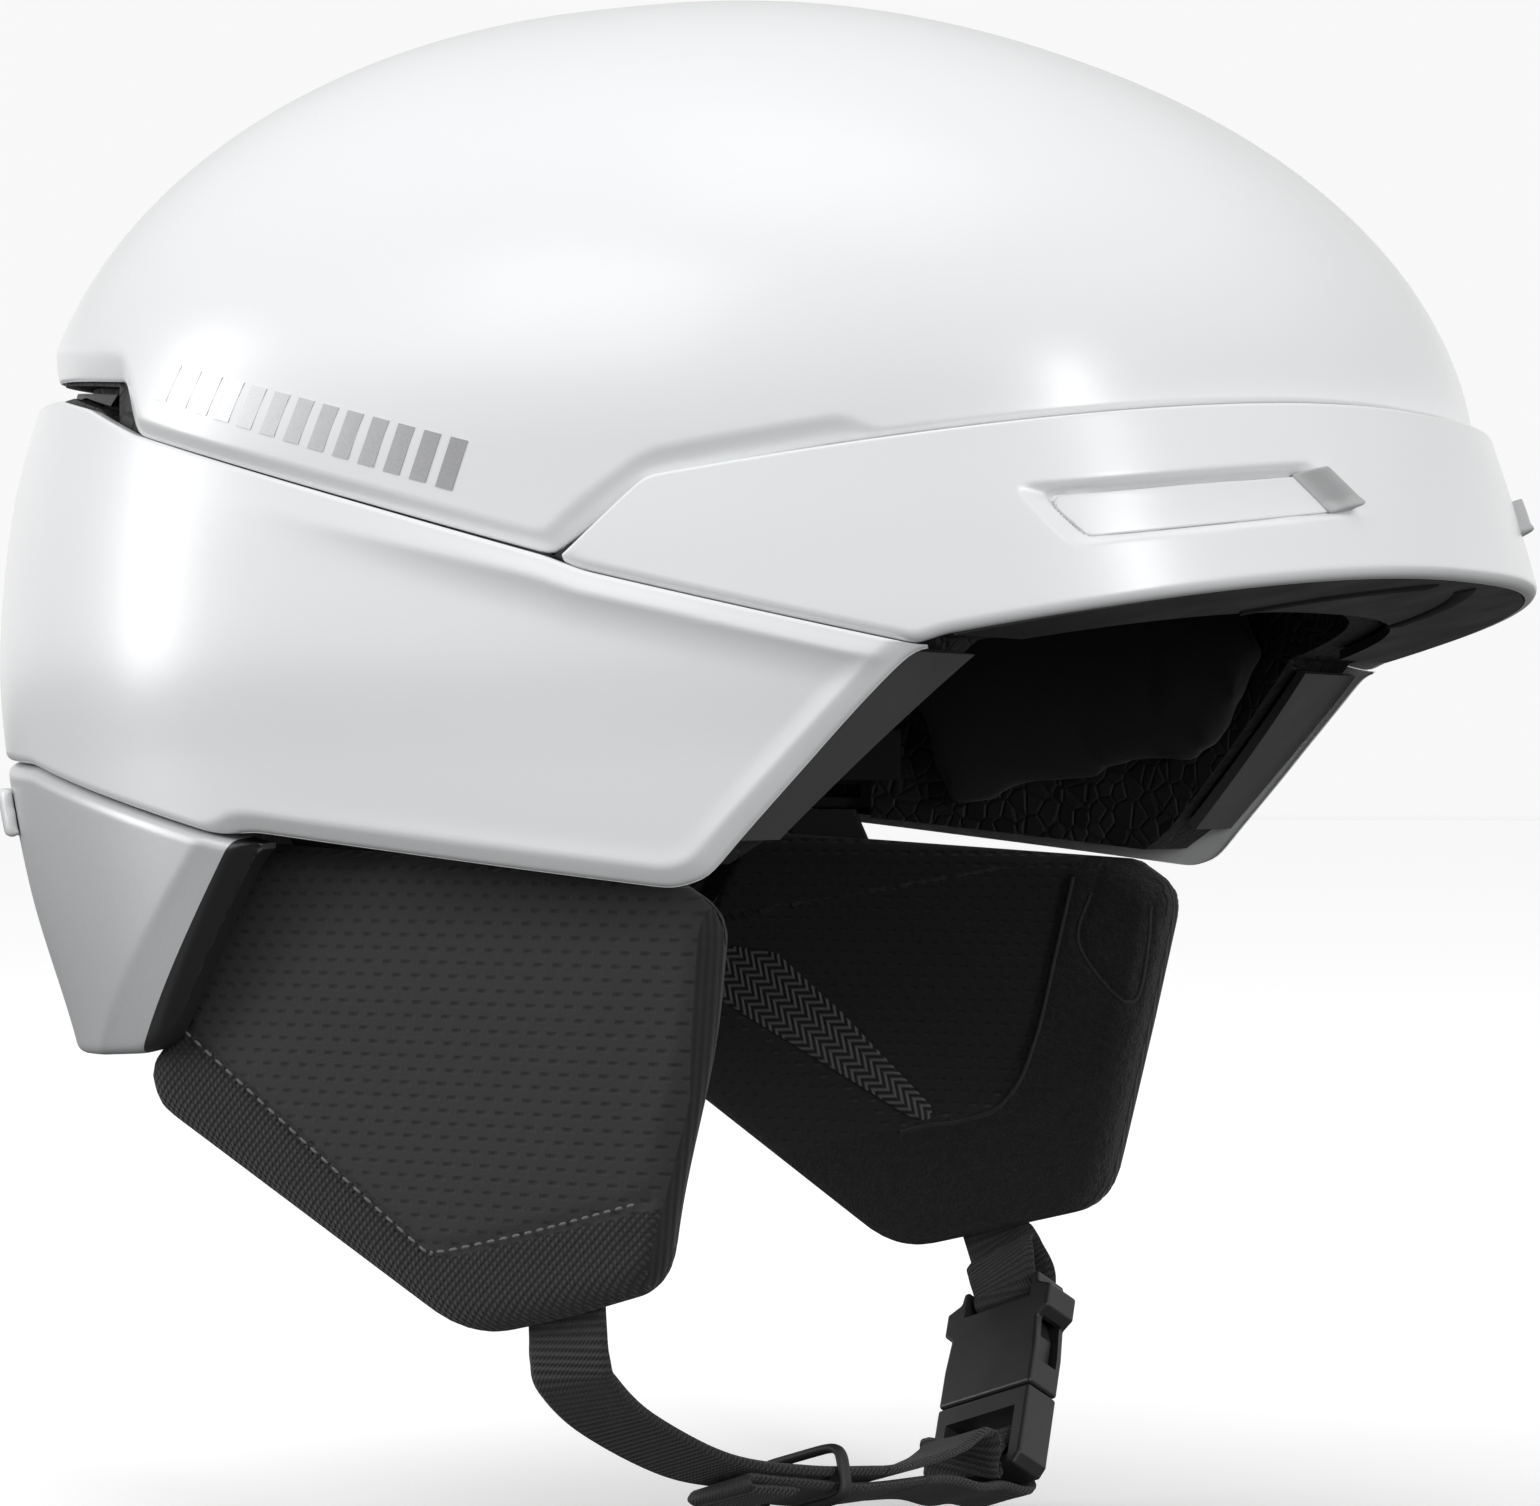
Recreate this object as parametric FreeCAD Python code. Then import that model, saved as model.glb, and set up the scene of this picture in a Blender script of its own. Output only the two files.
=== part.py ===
"""Ski helmet: hard shells, foam, vents, fit system, ear pads and a buckled chin strap.

Frame, in millimetres: +X is the front, +Y the wearer's left, +Z up. The origin is on the
midplane, in the middle of the head cavity, where the wearer's head is seated.
"""
import FreeCAD, Part
import math
import os

V = FreeCAD.Vector
os.makedirs("parts", exist_ok=True)

# ---- driving dimensions -------------------------------------------------------------
WIDEST_X = -16.6          # plane of the widest section, where front and back halves meet
POWER = 2.5               # how square the level sections are; 2 would be an ellipse
SKIN = 2.6                # wall of the hard shells
SEAM = 0.6                # gap between neighbouring shells
BED = 0.3                 # gap between a shell and the foam inside it
HALF_SPAN = 150.0         # half the length of the cutting prisms

# level sections of the lower outer surface: height, reach to front, reach to back, half width
OUTER_LEVELS = [
    (-62, 150, 100, 103),
    (-46, 151, 105, 105),
    (-20, 153, 116, 107),
    (2, 156, 121, 109),
    (20, 157, 122, 111),
    (36, 153, 121, 110.5),
    (52, 148, 118.5, 109),
    (66, 143, 113.5, 107.5),
    (80, 138, 108, 104),
]

# crown: a squared egg, standing on a short straight wall
CROWN_FRONT = 141.9
CROWN_BACK = 114.1
CROWN_HALF = 109.6
CROWN_BASE_Z = 53.4
CROWN_RISE = 87.5
CROWN_TOP_STEPS = 9
WALL_STEP = 16.0          # spacing of the level sections on a straight wall
CROWN_WALL_Z = 20.0

# head cavity in the foam
CAVITY_FRONT = 120.6
CAVITY_BACK = 91.4
CAVITY_HALF = 86.0
CAVITY_BASE_Z = 34.0
CAVITY_RISE = 78.0
CAVITY_FLOOR_Z = -70.0

# edges of the shells in the side view (X, Z), back to front
CROWN_EDGE = [(-150, 76), (-71, 68.5), (-66, 58.6), (20.5, 35.6), (38.5, 47.6), (71, 53.0), (150, 64.6)]
SIDE_TOP = [(-150, 67), (-92, 66.4), (-80, 63.4), (-66, 57.6), (25, 33.0), (80, 20.5)]
SIDE_BOTTOM = [(49, -12), (46, -15.2), (40, -16.8), (-39, -7.6), (-46, -9.2), (-98, 2.6), (-150, 5)]
BROW_BOTTOM = [(150, 36.4), (79, 21.6)]
GUARD_EDGE = [(-150, 4.4), (-98, 2.0), (-46, -9.8), (-39, -11), (-64, -44), (-70, -47.5), (-98, -49), (-150, -50)]
FOAM_EDGE = [(-150, -46), (-78, -44.5), (-57, -10), (-48, -5.4), (38, -13.6), (44, -9.6),
             (75, 22.5), (119, 33), (150, 39)]

# vent sliders: three points of the slot's middle line, on the right side, rear to front
SLOT_POINTS = [(98.1, -83.0, 41.2), (116.6, -65.0, 43.9), (128.1, -44.0, 46.4)]
SLOT_HALF_HEIGHT = 4.6
TAB_ANGLE = 8.0
TAB_PROUD = 2.6
TRACK_DEPTH = 2.2
TRACK_WALL = 1.4
SLIDER_TRAVEL = 32.0      # degrees about the slot's centre
STEM_HALF = 1.0
SLOT_END = 3.0            # clear angle of the recess past each end of the travel

# ear pads, side view outline
PAD_OUTLINE = [(-53, -10.5), (33, -15.5), (42.5, -21.5), (38, -48), (32, -76), (24, -84.5),
               (-7, -92.5), (-25, -87), (-73.5, -56.8), (-75, -49.5), (-67, -41)]
PAD_TOP_Y = 95.5          # outer face at PAD_TOP_Z
PAD_LEAN = 0.13           # inward lean of the pad, per millimetre of drop
PAD_THICK = 16.0
PAD_SLOT = 3.4            # room between the two cushions for the plate and the webbing
PAD_TOP_Z = -15.0
CORNER = 6.0

# chin strap: middle line of each webbing, from the pad to the buckle
STRAP_WIDE = 16.0
STRAP_THICK = 1.6
STRAP_PIVOT = (5.5, -91.5)   # X and Z of the line through both strap exits
ANCHOR_X = -38.0             # anchors that hold the webbing inside the foam's lower edge
RIGHT_ROUTE = [(5.5, -77.6, -96.5), (5.8, -75.4, -101), (7.6, -65.5, -108.6), (13, -48, -117.5),
               (18.2, -29, -121.8), (21.6, -8, -124.6), (22.8, 12, -126), (23.2, 27, -127.6)]
LEFT_ROUTE = [(9.4, 76.4, -95.4), (12.4, 73.9, -96.1), (14.4, 71.6, -96.3)]
LEFT_WIDE = 15.0             # the left webbing is folded in at its edges before the buckle
TAIL_ROUTE = [(15.2, -44.5, -121.2), (20.6, -18, -126.2), (22.4, 6, -128.6)]
TAIL_END = 12.0              # length of the folded, stitched end
KEEPER_AT = 0.82             # place along the tail's first run
STRAP_SLANT_START = V(0.97, 0, 0.243)

# side-release buckle: middle, axis towards the socket's end, and width direction
BUCKLE_MID = V(20.0, 54.0, -115.9)
BUCKLE_AXIS = V(-0.145, 0.591, 0.793)
BUCKLE_WIDTH = V(0.922, -0.204, 0.322)
BUCKLE_HALF_WIDE = 11.8
BUCKLE_HALF_THICK = 4.0
SOCKET_MOUTH = -4.0          # along the axis, from the middle
BUCKLE_END = 21.0            # both ends, from the middle
RUN_FIT = 0.35               # running gap inside the buckle
PRONG_OUT = 10.2             # outer face of the prongs, from the axis
RELEASE_TRAVEL = 25.0

# fit system behind the head
DIAL_MID = V(-105.7, 0, -43.0)
DIAL_RADIUS = 14.0
DIAL_WIDE = 9.0
CRADLE_TRAVEL = 10.0


# ---- general helpers ----------------------------------------------------------------
def level_wire(z, front, back, half, power=POWER):
    """One closed level section: a squared oval, longer in front of WIDEST_X than behind it."""
    points = []
    count = 36
    for i in range(count):
        a = 2 * math.pi * i / count
        c = math.cos(a)
        s = math.sin(a)
        reach = front if c > 0 else back
        x = WIDEST_X + reach * math.copysign(abs(c) ** (2 / power), c)
        y = half * math.copysign(abs(s) ** (2 / power), s)
        points.append(V(x, y, z))
    curve = Part.BSplineCurve()
    curve.interpolate(Points=points, PeriodicFlag=True)
    return Part.Wire(curve.toShape())


def dome(front, back, half, base_z, rise, floor_z, inset=0.0):
    """A squared egg on a straight wall, made smaller all round by inset."""
    front = front - inset
    back = back - inset
    half = half - inset
    rise = rise - inset
    steps = math.ceil((base_z - floor_z) / WALL_STEP)
    wires = []
    for i in range(steps):
        wires.append(level_wire(floor_z + (base_z - floor_z) * i / steps, front, back, half))
    for i in range(CROWN_TOP_STEPS):
        v = math.radians(84) * i / (CROWN_TOP_STEPS - 1)
        k = math.cos(v)
        wires.append(level_wire(base_z + rise * math.sin(v), front * k, back * k, half * k))
    return Part.makeLoft(wires, True, False)


def crown_solid(inset=0.0):
    return dome(CROWN_FRONT, CROWN_BACK, CROWN_HALF, CROWN_BASE_Z, CROWN_RISE, CROWN_WALL_Z, inset)


def outer_solid(inset=0.0):
    """The lower outer surface, from the neck to above the brow."""
    wires = []
    for z, front, back, half in OUTER_LEVELS:
        wires.append(level_wire(z, front - inset, back - inset, half - inset))
    return Part.makeLoft(wires, True, False)


def cavity_solid(inset=0.0):
    return dome(CAVITY_FRONT, CAVITY_BACK, CAVITY_HALF, CAVITY_BASE_Z, CAVITY_RISE, CAVITY_FLOOR_Z, inset)


def side_prism(points):
    """A prism right across the helmet, from an outline in the side view."""
    corners = [V(x, -HALF_SPAN, z) for x, z in points]
    wire = Part.makePolygon(corners + corners[:1])
    return Part.Face(wire).extrude(V(0, 2 * HALF_SPAN, 0))


def lowered(edge, drop):
    """The same edge line, moved down by drop."""
    return [(x, z - drop) for x, z in edge]


def box(low, high):
    size = [high[i] - low[i] for i in range(3)]
    return Part.makeBox(size[0], size[1], size[2], V(*low))


def rounded(shape, radius, edges=None):
    """Round a solid's edges, if the kernel can."""
    try:
        result = shape.makeFillet(radius, edges or shape.Edges)
    except Exception:
        return shape
    return result if result.isValid() and result.Volume > 0 else shape


def mirrored(shape):
    """The left-hand twin of a right-hand shape."""
    return shape.mirror(V(0, 0, 0), V(0, 1, 0))


def placed(shape, origin, x_axis, y_axis, z_axis):
    """Move a shape from its own axes to the given ones."""
    m = FreeCAD.Matrix(
        x_axis.x, y_axis.x, z_axis.x, origin.x,
        x_axis.y, y_axis.y, z_axis.y, origin.y,
        x_axis.z, y_axis.z, z_axis.z, origin.z,
        0, 0, 0, 1)
    moved = shape.copy()
    moved.Placement = FreeCAD.Placement(m)
    return moved


def biggest(shape):
    """The largest solid of a cut result."""
    return max(shape.Solids, key=lambda s: s.Volume)


def save(name, shape):
    solids = shape.Solids
    out = solids[0] if len(solids) == 1 else Part.Compound(solids)
    out.exportStep("parts/" + name + ".step")
    print("%-22s solids %d volume %9.0f valid %s" % (name, len(solids), out.Volume, out.isValid()))


# ---- vent sliders: an arc slot on each side of the brow ------------------------------
def slot_frame():
    """Centre, radius and axes of the circle through the slot's three points."""
    p1, p2, p3 = [V(*p) for p in SLOT_POINTS]
    circle = Part.Arc(p1, p2, p3).toShape().Curve
    axis = circle.Axis
    if axis.z < 0:
        axis = axis.negative()
    x_axis = (p3 - circle.Center).normalize()
    y_axis = axis.cross(x_axis)
    return circle.Center, circle.Radius, x_axis, y_axis, axis


SLOT_CENTRE, SLOT_RADIUS, SLOT_X, SLOT_Y, SLOT_AXIS = slot_frame()


def slot_block(r_in, r_out, low, high, start, end):
    """A block between two radii, two heights and two angles about the slot's centre."""
    a0 = math.radians(start)
    a1 = math.radians(end)
    mid = (a0 + a1) / 2

    def at(r, a):
        return V(r * math.cos(a), r * math.sin(a), low)

    outer = Part.Arc(at(r_out, a0), at(r_out, mid), at(r_out, a1)).toShape()
    inner = Part.Arc(at(r_in, a1), at(r_in, mid), at(r_in, a0)).toShape()
    wire = Part.Wire([outer, Part.makeLine(at(r_out, a1), at(r_in, a1)), inner,
                      Part.makeLine(at(r_in, a0), at(r_out, a0))])
    block = Part.Face(wire).extrude(V(0, 0, high - low))
    return placed(block, SLOT_CENTRE, SLOT_X, SLOT_Y, SLOT_AXIS)


TAB_START = -TAB_ANGLE / 2
TAB_END = TAB_ANGLE / 2
RECESS_START = TAB_START - SLIDER_TRAVEL - SLOT_END
RECESS_END = TAB_END + SLOT_END
FLOOR_R = SLOT_RADIUS - TRACK_DEPTH
BACK_R = FLOOR_R - TRACK_WALL
STEM_LOW = -SLOT_HALF_HEIGHT + 1.2
SHUTTER_GAP = 0.5
SHUTTER_START = RECESS_START + 3
SHUTTER_WALL = 1.2


def recess_window():
    """The window in the brow shell over the slot."""
    return slot_block(SLOT_RADIUS - 12, SLOT_RADIUS + 12, -SLOT_HALF_HEIGHT, SLOT_HALF_HEIGHT,
                      RECESS_START, RECESS_END)


def slider_pocket():
    """Room in the shell and the foam for the track plate and the shutter."""
    return slot_block(BACK_R - SHUTTER_GAP - SHUTTER_WALL - 1.0, FLOOR_R + BED, -SLOT_HALF_HEIGHT - 2.4,
                      SLOT_HALF_HEIGHT + 2.4, SHUTTER_START - SLIDER_TRAVEL - 2, RECESS_END + 5)


def make_vent_track():
    plate = slot_block(BACK_R, FLOOR_R, -SLOT_HALF_HEIGHT - 2, SLOT_HALF_HEIGHT + 2, RECESS_START - 2, RECESS_END + 2)
    slit = slot_block(BACK_R - 2, FLOOR_R + 2, STEM_LOW, STEM_LOW + 2 * STEM_HALF + 0.6,
                      TAB_START - SLIDER_TRAVEL + 1.5, TAB_END - 1.5)
    vent = slot_block(BACK_R - 2, FLOOR_R + 2, STEM_LOW + 2 * STEM_HALF + 1.6, SLOT_HALF_HEIGHT - 0.6,
                      RECESS_START + 6, TAB_START - 8)
    return plate.cut(slit).cut(vent)


def make_vent_tab():
    """The grip, with its stem through the slit."""
    grip = slot_block(FLOOR_R + 0.5, SLOT_RADIUS + TAB_PROUD, -SLOT_HALF_HEIGHT + 0.5, SLOT_HALF_HEIGHT - 0.5,
                      TAB_START, TAB_END)
    stem = slot_block(BACK_R - SHUTTER_GAP, FLOOR_R + 1.0, STEM_LOW + 0.3, STEM_LOW + 2 * STEM_HALF + 0.3,
                      TAB_START + 2, TAB_END - 2)
    return rounded(grip, 0.5).fuse(stem).removeSplitter()


def make_vent_shutter():
    """The plate behind the track that covers the vent while the tab is at the front."""
    outer = BACK_R - SHUTTER_GAP
    return slot_block(outer - SHUTTER_WALL, outer, -SLOT_HALF_HEIGHT, SLOT_HALF_HEIGHT, SHUTTER_START, TAB_END)


# ---- shells -------------------------------------------------------------------------
def make_crown_shell(vent_space):
    shell = crown_solid().cut(crown_solid(SKIN))
    above = side_prism(CROWN_EDGE + [(150, 160), (-150, 160)])
    return biggest(shell.common(above).cut(vent_space))


def make_brow_shell():
    """Front band from the wing tips round the forehead, with both slot windows."""
    wall = outer_solid().cut(outer_solid(SKIN))
    top = lowered(CROWN_EDGE[4:], SEAM)
    side = [(80, 20.5 + SEAM), (25, 33.0 + SEAM)]
    region = side_prism([side[1]] + top + BROW_BOTTOM + [side[0]])
    shell = wall.common(region)
    for cutter in (recess_window(), slider_pocket()):
        shell = shell.cut(cutter).cut(mirrored(cutter))
    return biggest(shell)


def make_side_shell():
    wall = outer_solid().cut(outer_solid(SKIN))
    return biggest(wall.common(side_prism(SIDE_TOP + SIDE_BOTTOM)))


def make_neck_guard():
    wall = outer_solid().cut(outer_solid(SKIN))
    return biggest(wall.common(side_prism(GUARD_EDGE)))


def make_rear_band():
    """Narrow white band across the back, standing proud of the neck guard."""
    band = outer_solid(-2.4).cut(outer_solid(-0.2))
    window = box((-150, -80, -10.5), (-96, 80, -1.2))
    return biggest(band.common(window))


def rear_vent_space():
    """Slot of the rear exhaust, between the crown lip and the side shell."""
    return side_prism([(-150, 67.6), (-92, 67.0), (-80, 64.0), (-73, 61.0), (-74.5, 67.5), (-150, 75.4)])


def vent_ducts():
    """Three air ducts through the back, with two ribs between them."""
    return [box((-150, y, 68.6), (-60, y + 24, 73.6)) for y in (-38, -12, 14)]


def make_rear_vent_insert():
    """Slim dark ring that lines the rear exhaust slot and frames the ducts."""
    ring = crown_solid(SKIN + 3.0).cut(crown_solid(SKIN + 5.0))
    slot = side_prism([(-150, 68.2), (-92, 67.4), (-80, 64.8), (-78, 66.6), (-150, 74.6)])
    ring = ring.common(slot)
    for duct in vent_ducts():
        ring = ring.cut(duct)
    return ring


def make_foam_liner(track_pockets):
    """Moulded foam: everything between the shells and the head cavity."""
    above = [(150, 160), (-150, 160)]
    region = side_prism(FOAM_EDGE + above)
    crown_part = crown_solid(SKIN + BED).common(side_prism(CROWN_EDGE + above))
    lower_part = outer_solid(SKIN + BED).common(side_prism(CROWN_EDGE + [(150, -70), (-150, -70)]))
    foam = crown_part.fuse(lower_part).common(region).cut(cavity_solid())
    for pocket in track_pockets:
        foam = foam.cut(pocket)
    ring_room = crown_solid(SKIN - 1).cut(crown_solid(SKIN + 5.4))
    foam = foam.cut(ring_room.common(rear_vent_space()))
    for duct in vent_ducts():
        foam = foam.cut(duct)
    foam = foam.cut(box((-140, -27, -60), (-90, 27, -18)))
    for side in (-1, 1):
        duct = Part.makeCylinder(5.5, 60, V(70, side * 34, 42), V(0.8, side * 0.55, 0.06))
        foam = foam.cut(duct)
    return biggest(foam)


def make_brim_liner():
    """Dark plate that closes the underside of the brow, outside the foam."""
    wall = outer_solid(SKIN + BED).cut(cavity_solid(-7.0))
    edge = [(84, 22.4), (150, 36.2), (150, 38.6), (84, 24.2)]
    return biggest(wall.common(side_prism(edge)))


def make_rim():
    """Dark band turned inwards along the front edge of the right wing."""
    wall = outer_solid(SKIN + BED).cut(cavity_solid(-4.0))
    edge = [(76.5, 20.0), (48.2, -9.6), (46.2, -8.4), (74.4, 20.6)]
    band = wall.common(side_prism(edge)).common(box((0, -150, -60), (150, 0, 60)))
    return biggest(band)


# ---- comfort pads -------------------------------------------------------------------
def cavity_layer(gap, thick, region):
    """A pad that follows the cavity wall, gap away from it."""
    layer = cavity_solid(gap).cut(cavity_solid(gap + thick))
    return biggest(layer.common(region))


def make_crown_pad():
    bar = box((-62, -16, 80), (58, 16, 130))
    cross = box((-20, -56, 60), (14, 56, 130))
    return cavity_layer(0.3, 7, bar.fuse(cross))


def make_brow_pad():
    return cavity_layer(0.3, 8, box((78, -62, 34), (140, 62, 56)))


def make_temple_pad():
    return cavity_layer(0.3, 7, side_prism([(-6, -6), (58, 4), (70, 24), (60, 44), (6, 44), (-14, 18)])
                        .common(box((-60, -150, -60), (100, 0, 60))))


def make_nape_pad():
    return cavity_layer(8.5, 5, box((-140, -40, -16), (-60, 40, 10)))


# ---- fit system ---------------------------------------------------------------------
def make_fit_band():
    """Right-hand band from the temple to the rear cradle."""
    layer = cavity_solid(4.2).cut(cavity_solid(5.4))
    region = box((-76, -150, 0), (-16, 0, 10))
    return biggest(layer.common(region))


def make_fit_cradle():
    """Curved carrier at the back of the head, with a stem down to the dial."""
    wall = cavity_solid(5.0).cut(cavity_solid(7.4))
    yoke = wall.common(box((-140, -62, -14), (-78, 62, 10)))
    stem = wall.common(box((-140, -11, -50), (-78, 11, -10)))
    pinion_hole = Part.makeCylinder(5.0, 12, V(DIAL_MID.x - 1, 0, DIAL_MID.z), V(1, 0, 0))
    return biggest(yoke.fuse(stem).cut(pinion_hole).removeSplitter())


def make_dial_housing():
    """Gear box behind the cradle's stem, open towards the dial."""
    x = DIAL_MID.x
    shell = rounded(box((x - 1.2, -17, -56), (x + 2.4, 17, -26)), 1.6)
    shaft_hole = Part.makeCylinder(3.3, 20, V(x - 10, 0, DIAL_MID.z), V(1, 0, 0))
    return shell.cut(shaft_hole)


def make_fit_dial():
    """Knurled knob on the back of the housing."""
    x = DIAL_MID.x - 1.8
    start = V(x - DIAL_WIDE, 0, DIAL_MID.z)
    knob = Part.makeCylinder(DIAL_RADIUS, DIAL_WIDE, start, V(1, 0, 0))
    lobes = 18
    for i in range(lobes):
        a = 2 * math.pi * i / lobes
        at = V(x - DIAL_WIDE - 1, (DIAL_RADIUS + 0.7) * math.cos(a), DIAL_MID.z + (DIAL_RADIUS + 0.7) * math.sin(a))
        knob = knob.cut(Part.makeCylinder(1.5, DIAL_WIDE + 2, at, V(1, 0, 0)))
    shaft = Part.makeCylinder(3.2, 3.6, V(x - 0.5, 0, DIAL_MID.z), V(1, 0, 0))
    return knob.fuse(shaft)


def make_fit_pinion():
    """Pinion on the dial's shaft, in front of the housing wall."""
    x = DIAL_MID.x + 2.7
    body = Part.makeCylinder(3.0, 2.2, V(x, 0, DIAL_MID.z), V(1, 0, 0))
    teeth = 8
    for i in range(teeth):
        tooth = box((x, -0.7, 2.4), (x + 2.2, 0.7, 4.4))
        tooth.rotate(V(0, 0, 0), V(1, 0, 0), 360.0 * i / teeth)
        tooth.translate(V(0, 0, DIAL_MID.z))
        body = body.fuse(tooth)
    return body.removeSplitter()


# ---- ear pads -----------------------------------------------------------------------
def pad_slab(near, far):
    """Right-hand slab of the pad outline, between two depths from the outer face."""
    outline = [V(x, 0, z) for x, z in PAD_OUTLINE]
    face = Part.Face(Part.makePolygon(outline + outline[:1]))
    slab = face.extrude(V(0, far - near, 0))
    corners = [e for e in slab.Edges if abs(e.tangentAt(e.FirstParameter).y) > 0.99]
    slab = rounded(slab, CORNER, corners)
    slab.translate(V(0, -PAD_TOP_Y + near, 0))
    shear = FreeCAD.Matrix()
    shear.A23 = -PAD_LEAN
    shear.A24 = PAD_LEAN * PAD_TOP_Z
    return slab.transformGeometry(shear)


PAD_HALF = (PAD_THICK - PAD_SLOT) / 2


def make_ear_pad_outer():
    return pad_slab(0, PAD_HALF)


def make_ear_pad_inner():
    return pad_slab(PAD_HALF + PAD_SLOT, PAD_THICK)


def pad_y(depth, z):
    """Y of a plane inside the right pad, at a depth from its outer face."""
    return -PAD_TOP_Y + depth - PAD_LEAN * (z - PAD_TOP_Z)


def make_ear_pad_plate():
    """Thin stiffener between the two cushions."""
    outline = [(-51, -16), (26, -20), (24, -62), (4, -72), (-58, -50)]
    corners = [V(x, pad_y(PAD_HALF + 0.1, z), z) for x, z in outline]
    face = Part.Face(Part.makePolygon(corners + corners[:1]))
    return face.extrude(V(0, 1.2, 0))


def make_strap_inner():
    """Webbing inside the right pad, from the anchor down to just above the exit."""
    x, z = STRAP_PIVOT
    half = STRAP_WIDE / 2
    sections = []
    for cx, cz in ((ANCHOR_X, -6.0), (x - 1.5, -80.0)):
        y = pad_y(PAD_HALF + 1.6, cz)
        corners = [V(cx - half, y, cz), V(cx + half, y, cz), V(cx + half, y + 1.4, cz), V(cx - half, y + 1.4, cz)]
        sections.append(Part.makePolygon(corners + corners[:1]))
    return Part.makeLoft(sections, True, True)


def anchor_pocket():
    """Room in the foam's lower edge for the strap anchor."""
    return box((ANCHOR_X - 13, -94, -30), (ANCHOR_X + 13, -84.5, 11))


def make_strap_anchor():
    plate = box((ANCHOR_X - 11, -91.6, -5.6), (ANCHOR_X + 11, -90.0, 9.0))
    slot = box((ANCHOR_X - 8.5, -95, -3.6), (ANCHOR_X + 8.5, -85, -0.8))
    hole = Part.makeCylinder(2.4, 10, V(ANCHOR_X, -95, 4.5), V(0, 1, 0))
    return plate.cut(slot).cut(hole)


def make_strap_rivets():
    rivets = []
    for turn in (False, True):
        shank = Part.makeCylinder(2.3, 4.2, V(ANCHOR_X, -93, 4.5), V(0, 1, 0))
        head = Part.makeCylinder(4.2, 1.2, V(ANCHOR_X, -89.8, 4.5), V(0, 1, 0))
        rivet = shank.fuse(head)
        rivets.append(mirrored(rivet) if turn else rivet)
    return Part.Compound(rivets)


def make_ear_pad_studs():
    """Press studs in the slot of both pads, at the upper corners of the plate."""
    studs = []
    for x, z in ((-45.5, -24.0), (20, -27.0)):
        y = pad_y(PAD_HALF + 1.7, z)
        stud = Part.makeCylinder(3.2, 1.1, V(x, y, z), V(0, 1, 0))
        studs.append(stud)
        studs.append(mirrored(stud))
    return Part.Compound(studs)


# ---- chin strap ---------------------------------------------------------------------
def band_sections(route, widths, wide, thick, shift=0.0):
    """Sections of flat webbing along a route. shift moves them along the outward normal."""
    points = [V(*p) for p in route]
    sections = []
    for i, point in enumerate(points):
        before = points[max(i - 1, 0)]
        after = points[min(i + 1, len(points) - 1)]
        along = (after - before).normalize()
        across = widths[i] - along * widths[i].dot(along)
        across.normalize()
        out = along.cross(across)
        middle = point + out * shift
        u = across * (wide / 2)
        n = out * (thick / 2)
        corners = [middle - u - n, middle + u - n, middle + u + n, middle - u + n]
        sections.append(Part.makePolygon(corners + corners[:1]))
    return sections


def band(route, widths, wide, thick, shift=0.0):
    """Flat webbing along straight runs."""
    return Part.makeLoft(band_sections(route, widths, wide, thick, shift), True, True)


def slants(count, first, last):
    """Width directions that turn evenly from the first to the last."""
    turned = []
    for i in range(count):
        k = i / (count - 1)
        turned.append(first * (1 - k) + last * k)
    return turned


RIGHT_WIDTHS = slants(len(RIGHT_ROUTE), STRAP_SLANT_START, BUCKLE_WIDTH)
SPLIT = 6                    # points of the route above the stretch that gives way with the plug


def right_sections():
    return band_sections(RIGHT_ROUTE, RIGHT_WIDTHS, STRAP_WIDE, STRAP_THICK)


def make_strap_right():
    return Part.makeLoft(right_sections()[:SPLIT], True, True)


def make_strap_lower():
    return Part.makeLoft(right_sections()[SPLIT - 1:], True, True)


def make_strap_left():
    widths = slants(len(LEFT_ROUTE), STRAP_SLANT_START, BUCKLE_WIDTH)
    webbing = band(LEFT_ROUTE, widths, LEFT_WIDE, STRAP_THICK)
    return biggest(webbing.cut(fold_room()))


def fold_room():
    """The space of the left fold and of the socket's end, which the left webbing stays out of."""
    half = BUCKLE_HALF_WIDE + 2
    return in_buckle(box((-half, 10, -4.2), (half, BUCKLE_END + 2.0, 4.2)))


def tail_widths():
    return [BUCKLE_WIDTH * 1.0 for _ in TAIL_ROUTE]


def make_strap_tail():
    """Free end of the webbing, under the strap, with its folded end."""
    thin = band(TAIL_ROUTE, tail_widths(), STRAP_WIDE - 1, STRAP_THICK - 0.2)
    start = V(*TAIL_ROUTE[0])
    along = (V(*TAIL_ROUTE[1]) - start).normalize()
    fold_route = [start - along * 0.5, start + along * TAIL_END]
    fold = band([tuple(p) for p in fold_route], tail_widths()[:2], STRAP_WIDE - 0.6, 3.2, 0.8)
    return thin.fuse(fold).removeSplitter()


def keeper_frame():
    """Middle of the keeper and its axes: along the strap, across it, and outwards."""
    start = V(*TAIL_ROUTE[0])
    end = V(*TAIL_ROUTE[1])
    along = (end - start).normalize()
    across = BUCKLE_WIDTH - along * BUCKLE_WIDTH.dot(along)
    across.normalize()
    out = along.cross(across)
    return start + (end - start) * KEEPER_AT, along, across, out


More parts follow.
